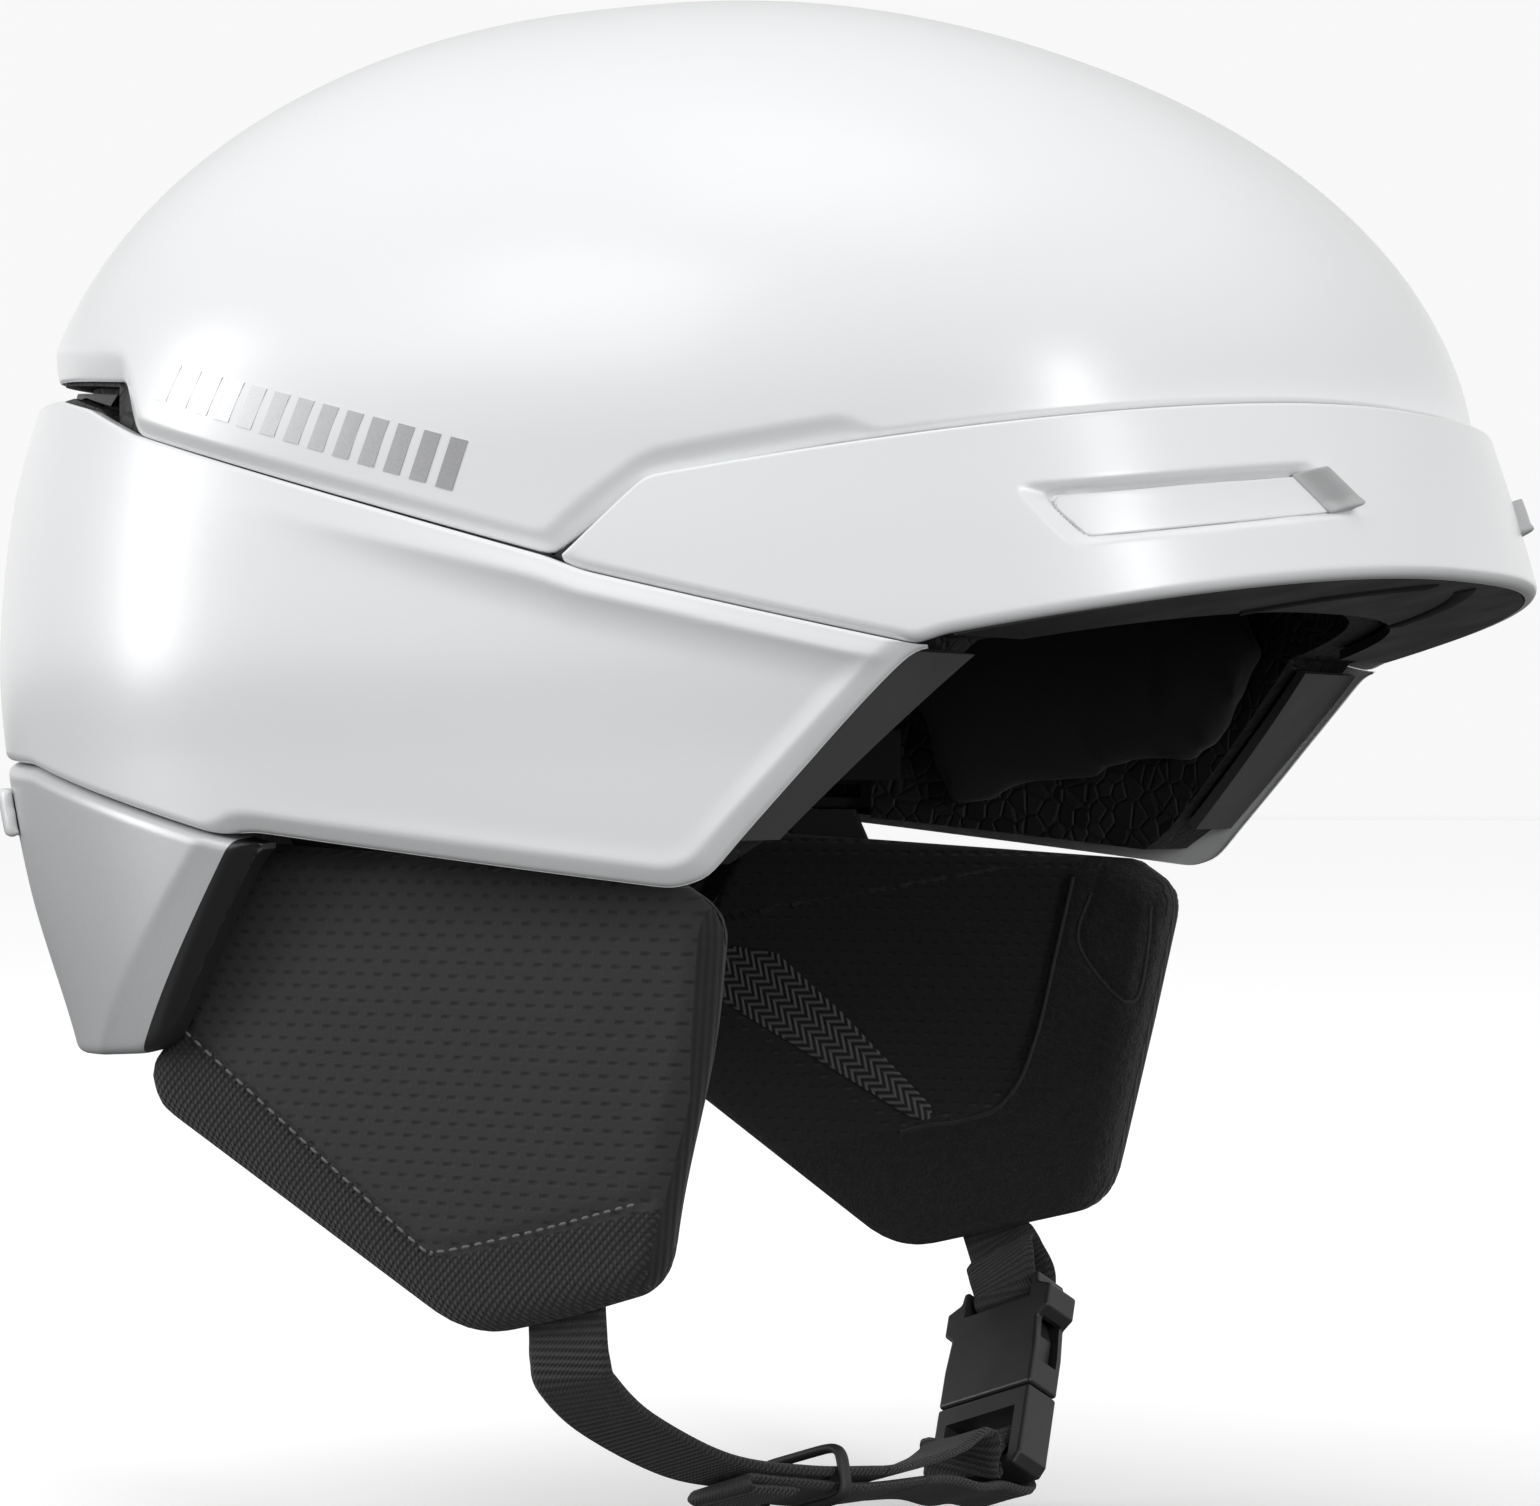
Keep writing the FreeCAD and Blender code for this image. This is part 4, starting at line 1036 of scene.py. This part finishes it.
def tube(name, material, path, radius, sides=8):
    """A round cord along a path, with closed ends."""
    tangent = tangents(path)
    up = (0.0, 1.0, 0.0) if abs(tangent[:, 1]).max() < 0.8 else (0.0, 0.0, 1.0)
    side = unit(np.cross(tangent, up))
    lift = np.cross(side, tangent)
    a = np.linspace(0, 2 * math.pi, sides, endpoint=False)
    ring = side[:, None] * np.cos(a)[None, :, None] + lift[:, None] * np.sin(a)[None, :, None]
    points = path[:, None] + ring * radius
    return make_mesh(name, points, grid_faces(len(path), sides, False, True), material, sharp=70, merge=0)


def stitches(name, material, path, side, depth, pitch=2.6, long=1.7, radius=0.28):
    """A row of short thread capsules along a path on a pad."""
    step = 0.2
    fine = evenly(path, int(path_length(path) / step))
    points, faces = [], []
    for start in range(0, len(fine) - int(long / step) - 1, int(pitch / step)):
        a, b = fine[start], fine[start + int(long / step)]
        along = unit(b - a)
        across = np.array([-along[1], along[0]])
        base = len(points)
        for t, swell in ((0, 0.35), (0.2, 1.0), (0.8, 1.0), (1, 0.35)):
            middle = a + (b - a) * t
            for k in range(6):
                c, s = math.cos(k * math.pi / 3), math.sin(k * math.pi / 3)
                spot = middle + across * c * radius * swell
                points.append((spot[0], depth + s * radius * swell, spot[1]))
        for r in range(3):
            for k in range(6):
                l = (k + 1) % 6
                faces.append((base + r * 6 + k, base + r * 6 + l, base + r * 6 + 6 + l, base + r * 6 + 6 + k))
        faces.append(tuple(base + k for k in range(6))[::-1])
        faces.append(tuple(base + 18 + k for k in range(6)))
    points = np.array(points)
    spots = pad_point(points[:, 0], points[:, 1], points[:, 2], side)
    return make_mesh(name, spots, faces, material, sharp=70, merge=0)


def on_lining(lining, path, side, lift):
    """A side-view path laid on a lining's face towards the head, raised by lift."""
    tree = BVHTree.FromObject(lining, bpy.context.evaluated_depsgraph_get())
    points = pad_point(path[:, 0], np.full(len(path), 32.0), path[:, 1], side)
    for i, point in enumerate(points):
        hit = tree.ray_cast(Vector(point * MM), Vector((0, side, 0)))[0]
        if hit is not None:
            points[i, 1] = hit.y / MM - side * lift
    return points


def plate_on_pad(name, material, lining, side, outline, lift):
    """A thin closed plate over an outline, laid on a lining."""
    rim = rounded_outline([(x, z, 1.6) for x, z in outline], 1.0)
    middle = rim.mean(0)
    shares = (0.25, 0.5, 0.7, 0.85, 0.97, 1.0, 1.0)
    lifts = (lift, lift, lift, lift, lift, 0.5 * lift, -0.8)
    points = []
    for share, height in zip(shares, lifts):
        ring = middle + (rim - middle) * share
        points.append(on_lining(lining, ring, side, height))
    grid = np.stack(points, 1)
    return make_mesh(name, grid, plate_faces(len(rim), len(shares)), material, sharp=50, merge=0)


def ear_pads():
    """Both ear pads: outer cushion, fleece lining, stitches, piping and the pocket's tape."""
    puff = swollen(PAD_CORNERS, 5.0, 6.0)
    for side, word in ((-1, "right"), (1, "left")):
        outer = pad_cushion("ear_cushion_" + word, KNIT, side, outer_detail, puff,
                            face=0.9, back=8.1, hollow=6.2, crown=0.9, roll=5.8)
        hang(outer, "root", "pad_knit", "ear_pad_outer_" + word)
        inner = pad_cushion("ear_lining_" + word, FLEECE, side, inner_detail, puff,
                            face=15.2, back=8.4, hollow=9.6, crown=0.8, roll=5.0)
        hang(inner, "root", "pad_fleece", "ear_pad_inner_" + word)
        trim = smooth_path(TRIM_LINE, 220)
        sewn = stitches("trim_stitches_" + word, THREAD, trim[6:], side, 0.25)
        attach(sewn, "root")
        edge = on_lining(inner, smooth_path(PANEL_LINE[:6], 130)[8:], side, 0.12)
        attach(tube("panel_piping_" + word, THREAD_DARK, edge, 0.42), "root")
        edge = smooth_path([(39.6, -24.5)] + PATCH_LINE[3:8] + [(27.2, -22.0)], 90)
        edge = on_lining(inner, edge, side, -0.05)
        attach(tube("patch_piping_" + word, THREAD_DARK, edge, 0.4), "root")
        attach(plate_on_pad("pocket_tape_" + word, HERRING, inner, side, TAPE_OUTLINE, 0.45), "root")


# ---- webbing: widths, routes and the buckle's axes, as the CAD has them --------------------
STRAP_WIDE = 16.0
STRAP_THICK = 1.6
# where the webbing round the plug's bar takes over from the right-hand run, and where the tail begins
LOWER_FROM = (21.6, -8, -124.6)
LOWER_TO = (22.4, 6, -128.4)
RIGHT_ROUTE = [
    (5.5, -77.6, -96.5), (5.8, -75.4, -101), (7.6, -65.5, -108.6), (13, -48, -117.5), (18.2, -29, -121.8),
    LOWER_FROM,
]
TAIL_ROUTE = [(15.2, -44.5, -121.2), (20.6, -18, -126.2)]
KEEPER_AT = 0.82
STRAP_SLANT = (0.97, 0.0, 0.243)
BUCKLE_MID = np.array([20.0, 54.0, -115.9])
BUCKLE_ALONG = np.array([-0.145, 0.591, 0.793])
BUCKLE_WIDTH = np.array([0.922, -0.204, 0.322])
TURNED_WIDTH = BUCKLE_WIDTH * 0.7 + np.array(STRAP_SLANT) * 0.3


def in_buckle(points):
    """Points from the buckle's own axes: width, axis, inward."""
    along = unit(BUCKLE_ALONG)
    inward = unit(np.cross(BUCKLE_WIDTH, along))
    across = np.cross(along, inward)
    return [tuple(BUCKLE_MID + across * p[0] + along * p[1] + inward * p[2]) for p in points]


def webbing_piece(name, path, first, last, wides, thick=STRAP_THICK):
    """Flat webbing along a path of even points. first and last are its width directions."""
    tangent = tangents(path)
    steps = np.linspace(0, 1, len(path))[:, None]
    wide_dir = np.array(first) * (1 - steps) + np.array(last) * steps
    wide_dir = unit(wide_dir - tangent * (wide_dir * tangent).sum(1, keepdims=True))
    normal = np.cross(tangent, wide_dir)
    half = np.interp(steps[:, 0], np.linspace(0, 1, len(wides)), wides) / 2
    across = np.concatenate([np.linspace(-1, 1, 15), np.linspace(1, -1, 15)])
    edge = np.sqrt(np.clip(1 - np.clip((np.abs(across) - 0.9) / 0.1, 0, 1) ** 2, 0.03, 1))
    sign = np.concatenate([np.ones(15), -np.ones(15)])
    level = sign * edge * thick / 2
    sideways = wide_dir[:, None] * (across[None, :] * half[:, None])[..., None]
    points = path[:, None] + sideways + normal[:, None] * level[None, :, None]
    rows = points.shape[1]
    piece = make_mesh(name, points, grid_faces(len(path), rows, False, True), WEBBING, sharp=60, merge=0)
    lengths = np.concatenate([[0], np.cumsum(np.linalg.norm(np.diff(path, axis=0), axis=1))])
    layer = piece.data.uv_layers.new(name="weave")
    for loop in piece.data.loops:
        i, j = divmod(loop.vertex_index, rows)
        layer.data[loop.index].uv = (across[j] * STRAP_WIDE / 2, lengths[i])
    return piece


def right_webbing():
    """Out of the right pad and under the chin."""
    path = smooth_path([(4.2, -76.8, -84.0), (5.2, -77.8, -91.5)] + RIGHT_ROUTE, 110)
    piece = webbing_piece("web_right", path, STRAP_SLANT, TURNED_WIDTH, [15.4, 16, 16])
    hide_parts("strap_right")
    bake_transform(piece)


def lower_webbing():
    """From under the chin round the plug's bar, and back to where the tail begins."""
    to_bar = [(18.2, -29, -121.8), LOWER_FROM, (22.4, 8, -125.2), (22.6, 22, -124.6), (22.4, 32, -123.2)]
    round_bar = in_buckle([
        (0.6, -22.2, 6.6), (0.2, -18.2, 4.6), (0, -14.6, 2.5), (0, -12.0, 1.6), (0, -11.0, 0),
        (0, -12.0, -1.6), (0, -14.6, -2.6), (0, -18.0, -4.0), (0.2, -21.6, -4.9),
    ])
    back = [(24.0, 36, -133.4), (23.8, 27, -132.4), (23.2, 17, -129.8), LOWER_TO, (20.6, -18, -126.2)]
    path = smooth_path(to_bar + round_bar + back, 230)
    begin = int(np.argmin(np.linalg.norm(path[:80] - np.array(LOWER_FROM), axis=1)))
    end = 150 + int(np.argmin(np.linalg.norm(path[150:] - np.array(LOWER_TO), axis=1)))
    wides = [16, 16, 15.2, 15.2, 15.6]
    piece = webbing_piece("web_lower", path[begin:end + 1], TURNED_WIDTH, BUCKLE_WIDTH, wides)
    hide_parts("strap_lower", "strap_fold_right")
    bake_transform(piece)


def tail_axes():
    """Where the tail's folded end starts, and its directions along, across and out."""
    start = np.array(TAIL_ROUTE[0])
    along = unit(np.array(TAIL_ROUTE[1]) - start)
    across = unit(BUCKLE_WIDTH - along * (BUCKLE_WIDTH @ along))
    return start, along, across, np.cross(along, across)


def tail_webbing():
    """The tail, doubled back at its end."""
    start, along, _, out = tail_axes()
    fold = [(14, 0.0), (6, 0.0), (1.2, 0.0), (-0.6, 0.9), (1.2, 1.8), (6, 1.75), (12, 1.7)]
    tail = [LOWER_TO, (21.4, -8, -127.4), (20.6, -18, -126.2)]
    path = smooth_path(tail + [tuple(start + along * t + out * h) for t, h in fold], 130)
    piece = webbing_piece("web_tail", path, BUCKLE_WIDTH, BUCKLE_WIDTH, [15.4, 15.2, 15.2, 15.2], 1.5)
    hang(piece, "chin_strap", "webbing", "strap_tail")


def keeper_ring():
    """The ring that holds the tail: a flat band round a squared oval."""
    start, along, across, out = tail_axes()
    middle = start + (np.array(TAIL_ROUTE[1]) - start) * KEEPER_AT
    a = np.linspace(0, 2 * math.pi, 97)[:-1]
    wide = 9.5 * np.sign(np.cos(a)) * np.abs(np.cos(a)) ** 0.28
    high = 4.6 * np.sign(np.sin(a)) * np.abs(np.sin(a)) ** 0.5
    ring = middle + across * wide[:, None] + out * (high - 1.9)[:, None]
    normal = np.cross(unit(np.roll(ring, -1, 0) - np.roll(ring, 1, 0)), along)
    a = np.linspace(0, 2 * math.pi, 13)[:-1]
    section = along * (np.cos(a) * 1.45)[None, :, None] + normal[:, None] * (np.sin(a) * 0.85)[None, :, None]
    points = ring[:, None] + section
    faces = grid_faces(len(ring), 12, True, True)
    keeper = make_mesh("keeper_ring", points, faces, RUBBER, sharp=70, merge=0)
    hang(keeper, "keeper", "keeper_rubber", "strap_keeper")


def left_webbing():
    """Out of the left pad, round the socket's bar and back up."""
    loop = in_buckle([
        (-4.2, 29.5, -2.4), (-1.2, 24.5, -3.0), (0, 20.6, -2.7), (0, 18.2, -2.1), (0, 17.1, 0),
        (0, 18.2, 2.1), (0, 20.6, 2.7), (-1.2, 24.5, 2.7), (-3.8, 29.0, 1.6), (-5.2, 31.4, 0.4),
    ])
    path = smooth_path([(6.2, 77.0, -84.0), (8.4, 77.4, -91.0)] + loop, 170)
    piece = webbing_piece("web_left", path, STRAP_SLANT, BUCKLE_WIDTH, [15, 15, 15, 15], 1.4)
    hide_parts("strap_left", "strap_fold_left")
    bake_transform(piece)


# ---- pieces made from CAD forms ---------------------------------------------------------
def copy_of(node_name, name, material):
    """A new piece with a CAD node's shape."""
    source = NODES[node_name]
    mesh = source.data.copy()
    mesh.transform(source.matrix_world)
    mesh.materials.clear()
    mesh.materials.append(material)
    piece = bpy.data.objects.new(name, mesh)
    bpy.context.scene.collection.objects.link(piece)
    return piece


def comfort_pads():
    """Each comfort pad is its CAD form, drawn in a little and swollen by the cloth simulation."""
    pads = [("crown_pad", FABRIC, 3.0), ("brow_pad", FABRIC, 2.5), ("nape_pad", FABRIC, 1.5),
            ("temple_pad_right", SMOOTH_PAD, 1.6), ("temple_pad_left", SMOOTH_PAD, 1.6)]
    for name, cloth, cap in pads:
        piece = copy_of(name, name + "_cover", cloth)
        mesh = piece.data
        b = bmesh.new()
        b.from_mesh(mesh)
        bmesh.ops.remove_doubles(b, verts=b.verts, dist=1e-6)
        b.to_mesh(mesh)
        b.free()
        for vertex in mesh.vertices:
            vertex.co -= vertex.normal * 0.0006
        simulate(piece, 4.0, cap)
        apply_modifier(piece, "SUBSURF", levels=1)
        piece.data.shade_smooth()
        slot = "pad_fabric" if cloth is FABRIC else "pad_smooth"
        hang(piece, "cradle" if name == "nape_pad" else "root", slot, name)


def rear_band():
    """The band plate at the back: its CAD form with the edges rounded off."""
    piece = copy_of("rear_band", "rear_band_skin", WHITE)
    apply_modifier(piece, "REMESH", mode="VOXEL", voxel_size=0.9 * MM)
    apply_modifier(piece, "SMOOTH", iterations=8, factor=0.5)
    piece.data.shade_smooth()
    hang(piece, "root", "shell_white", "rear_band")


BARS = 13
BARS_FROM = -57.0
BAR_PITCH = 5.0
BAR_WIDE = 3.1
BAR_SLANT = 3.0


def bar_ink():
    """Silver print that fades towards the back."""
    m = plain_material("bar_ink", (0.5, 0.5, 0.52), 0.35, Metallic=0.35)
    flake = calc(m, "SUBTRACT", add_noise(m, 4200, 2, 0.7), 0.5)
    fade = remap(m, axes(m)[0], -60, 8)
    tone = calc(m, "ADD", fade, calc(m, "MULTIPLY", flake, 0.7), clamp=True)
    colour_between(m, tone, (0.74, 0.75, 0.76), (0.38, 0.38, 0.39))
    return m


def silver_bars():
    """A band of thin slanted bars printed low on both sides of the crown."""
    ink = bar_ink()
    for side, word in ((-1, "right"), (1, "left")):
        points, faces = [], []
        for k in range(BARS):
            tall = 0.62 * (11.0 + 0.25 * k)
            low = 61.9 + 0.1155 * (BARS - k)
            for layer in (0.14, -0.3):
                for s, t in ((0, 0), (1, 0), (1, 1), (0, 1)):
                    x = BARS_FROM + BAR_PITCH * k + s * BAR_WIDE - (1 - t) * BAR_SLANT
                    z = low - (x - BARS_FROM) * 0.262 + t * tall
                    a, level = on_crown(x, z, side)
                    outwards = surface_normals(crown_surface, a, level)
                    points.append((crown_surface(a, level) + outwards * layer)[0])
            b = 8 * k
            faces += [(b, b + 1, b + 2, b + 3), (b + 7, b + 6, b + 5, b + 4)]
            faces += [(b + i, b + 4 + i, b + 4 + (i + 1) % 4, b + (i + 1) % 4) for i in range(4)]
        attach(make_mesh("crown_bars_" + word, points, faces, ink, sharp=30, merge=0), "root")


def on_crown(x, z, side):
    """Surface parameters of the crown at a place in the side view."""
    rise = (z - CROWN_BASE_Z) / CROWN_RISE
    level = math.asin(min(rise, 1.0)) if rise > 0 else rise
    k = math.cos(max(level, 0))
    length = (CROWN_FRONT if x > WIDEST_X else CROWN_BACK) * k
    c = abs((x - WIDEST_X) / length) ** (POWER / 2)
    a = math.acos(min(c, 1.0))
    a = a if x > WIDEST_X else math.pi - a
    return np.array([side * a]), np.array([level])


def brow_slots():
    """A near-black strip on each side of the brow's underside: painted shade standing for the dark slit
    there.
    """
    middle = [(107.5, 34.5, 0), (114.5, 30.0, 0), (122.0, 22.5, 0), (128.0, 13.5, 0), (130.5, 8.0, 0)]
    path = smooth_path(middle, 40)
    tangent = tangents(path)
    across = np.stack([-tangent[:, 1], tangent[:, 0], np.zeros(len(path))], -1)
    for side, word in ((-1, "right"), (1, "left")):
        columns = []
        for wide, drop in ((-1.9, 0.45), (-1.5, 0.7), (1.5, 0.7), (1.9, 0.45), (1.9, -0.4), (-1.9, -0.4)):
            p = path + across * wide
            p[:, 1] *= side
            p[:, 2] = 22.75 + (p[:, 0] - 84) * 0.2091 - drop
            columns.append(p)
        grid, faces = np.stack(columns, 1), grid_faces(len(path), 6, False, True)
        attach(make_mesh("brow_slot_" + word, grid, faces, SLIT_SHADE, sharp=40, merge=0), "root")


crown_piece()
side_piece()
guard_piece()
brow_piece()
sliders()
ear_pads()
right_webbing()
lower_webbing()
tail_webbing()
keeper_ring()
left_webbing()
comfort_pads()
silver_bars()
brow_slots()
rear_band()

# ---- carried-over CAD nodes -----------------------------------------------------------
FINISHES = {
    "rear_band": WHITE, "rear_vent_insert": DARK, "foam_liner": FOAM, "brim_liner": BRIM, "crown_pad": FABRIC,
    "brow_pad": FABRIC, "nape_pad": FABRIC, "fit_cradle": DARK, "dial_housing": DARK, "fit_dial": DIAL,
    "fit_pinion": DARK, "ear_pad_studs": STEEL, "strap_rivets": STEEL, "strap_keeper": RUBBER,
    "buckle_socket": BUCKLE, "buckle_plug": BUCKLE, "buckle_prong_front": BUCKLE, "buckle_prong_rear": BUCKLE,
    "strap_fold_right": WEBBING, "strap_fold_left": WEBBING, "strap_right": WEBBING, "strap_lower": WEBBING,
    "strap_left": WEBBING, "strap_tail": WEBBING,
}
PAIR_FINISHES = {
    "rim": RIM, "vent_track": WHITE, "vent_tab": TAB, "vent_shutter": WHITE, "temple_pad": SMOOTH_PAD,
    "fit_band": DARK, "ear_pad_outer": KNIT, "ear_pad_inner": FLEECE, "ear_pad_plate": DARK,
    "strap_inner": WEBBING, "strap_anchor": DARK,
}
for name, finish in PAIR_FINISHES.items():
    FINISHES[name + "_right"] = finish
    FINISHES[name + "_left"] = finish
for name, finish in FINISHES.items():
    mesh = NODES[name].data
    mesh.materials.clear()
    mesh.materials.append(finish)

# ---- floor, light and camera ------------------------------------------------------------
CAMERA_AT = (0.3835, -0.6807, 0.0)
CAMERA_AZIMUTH = 29.4
LENS = 100.0
HORIZON_SHIFT = 0.0175


def studio():
    """Pale floor, and a soft white surround that is darker below the horizon."""
    world = bpy.data.worlds.new("studio")
    world.use_nodes = True
    tree = world.node_tree
    background = tree.nodes["Background"]
    background.inputs["Strength"].default_value = 1.0
    direction = tree.nodes.new("ShaderNodeTexCoord")
    split = tree.nodes.new("ShaderNodeSeparateXYZ")
    ramp = tree.nodes.new("ShaderNodeValToRGB")
    spread = tree.nodes.new("ShaderNodeMapRange")
    spread.inputs["From Min"].default_value = -1
    tree.links.new(direction.outputs["Generated"], split.inputs["Vector"])
    tree.links.new(split.outputs["Z"], spread.inputs["Value"])
    tree.links.new(spread.outputs["Result"], ramp.inputs["Fac"])
    tree.links.new(ramp.outputs["Color"], background.inputs["Color"])
    stops = [(0.0, 0.06), (0.40, 0.16), (0.485, 0.22), (0.495, 0.94), (0.59, 0.94), (0.64, 0.60), (1.0, 0.80)]
    elements = ramp.color_ramp.elements
    while len(elements) < len(stops):
        elements.new(0.5)
    for element, (at, level) in zip(elements, stops):
        element.position = at
        element.color = (level, level, level, 1)
    bpy.context.scene.world = world
    floor_z = CAD_BOX[0].z - 0.001
    bpy.ops.mesh.primitive_circle_add(vertices=96, radius=14.0, fill_type="NGON", location=(0, 0, floor_z))
    floor = bpy.context.object
    floor.name = "floor"
    pale = plain_material("floor_pale", (0.86, 0.86, 0.86), 0.9, Emission_Strength=0.30,
                          Emission_Color=(1, 1, 1, 1))
    floor.data.materials.append(pale)
    floor.visible_diffuse = False
    floor.visible_glossy = False


def area_light(name, azimuth, elevation, distance, size, power):
    """A softbox that looks at the origin, seen at that azimuth from the origin."""
    data = bpy.data.lights.new(name, "AREA")
    data.shape = "RECTANGLE"
    data.size, data.size_y = size
    data.energy = power
    light = bpy.data.objects.new(name, data)
    a, e = math.radians(azimuth), math.radians(elevation)
    away = Vector((math.sin(a) * math.cos(e), -math.cos(a) * math.cos(e), math.sin(e)))
    light.location = away * distance
    light.rotation_mode = "QUATERNION"
    light.rotation_quaternion = away.to_track_quat("Z", "Y")
    bpy.context.scene.collection.objects.link(light)


def camera():
    data = bpy.data.cameras.new("camera")
    data.lens = LENS
    data.sensor_width = 36.0
    data.shift_y = HORIZON_SHIFT
    data.clip_start = 0.01
    data.clip_end = 100.0
    made = bpy.data.objects.new("camera", data)
    made.location = CAMERA_AT
    made.rotation_euler = (math.radians(90), 0, math.radians(CAMERA_AZIMUTH))
    bpy.context.scene.collection.objects.link(made)
    bpy.context.scene.camera = made


studio()
# name, azimuth and elevation in degrees, distance and size in metres, power in watts
area_light("key", -22, 38, 2.4, (1.2, 1.2), 8.5)
area_light("strip_front", 62, 12, 2.4, (0.26, 1.5), 17)
area_light("strip_rear", -58, 12, 2.4, (0.40, 1.5), 17)
area_light("top", 10, 80, 2.4, (1.4, 1.4), 4)
bpy.context.scene.view_settings.view_transform = "Standard"
camera()
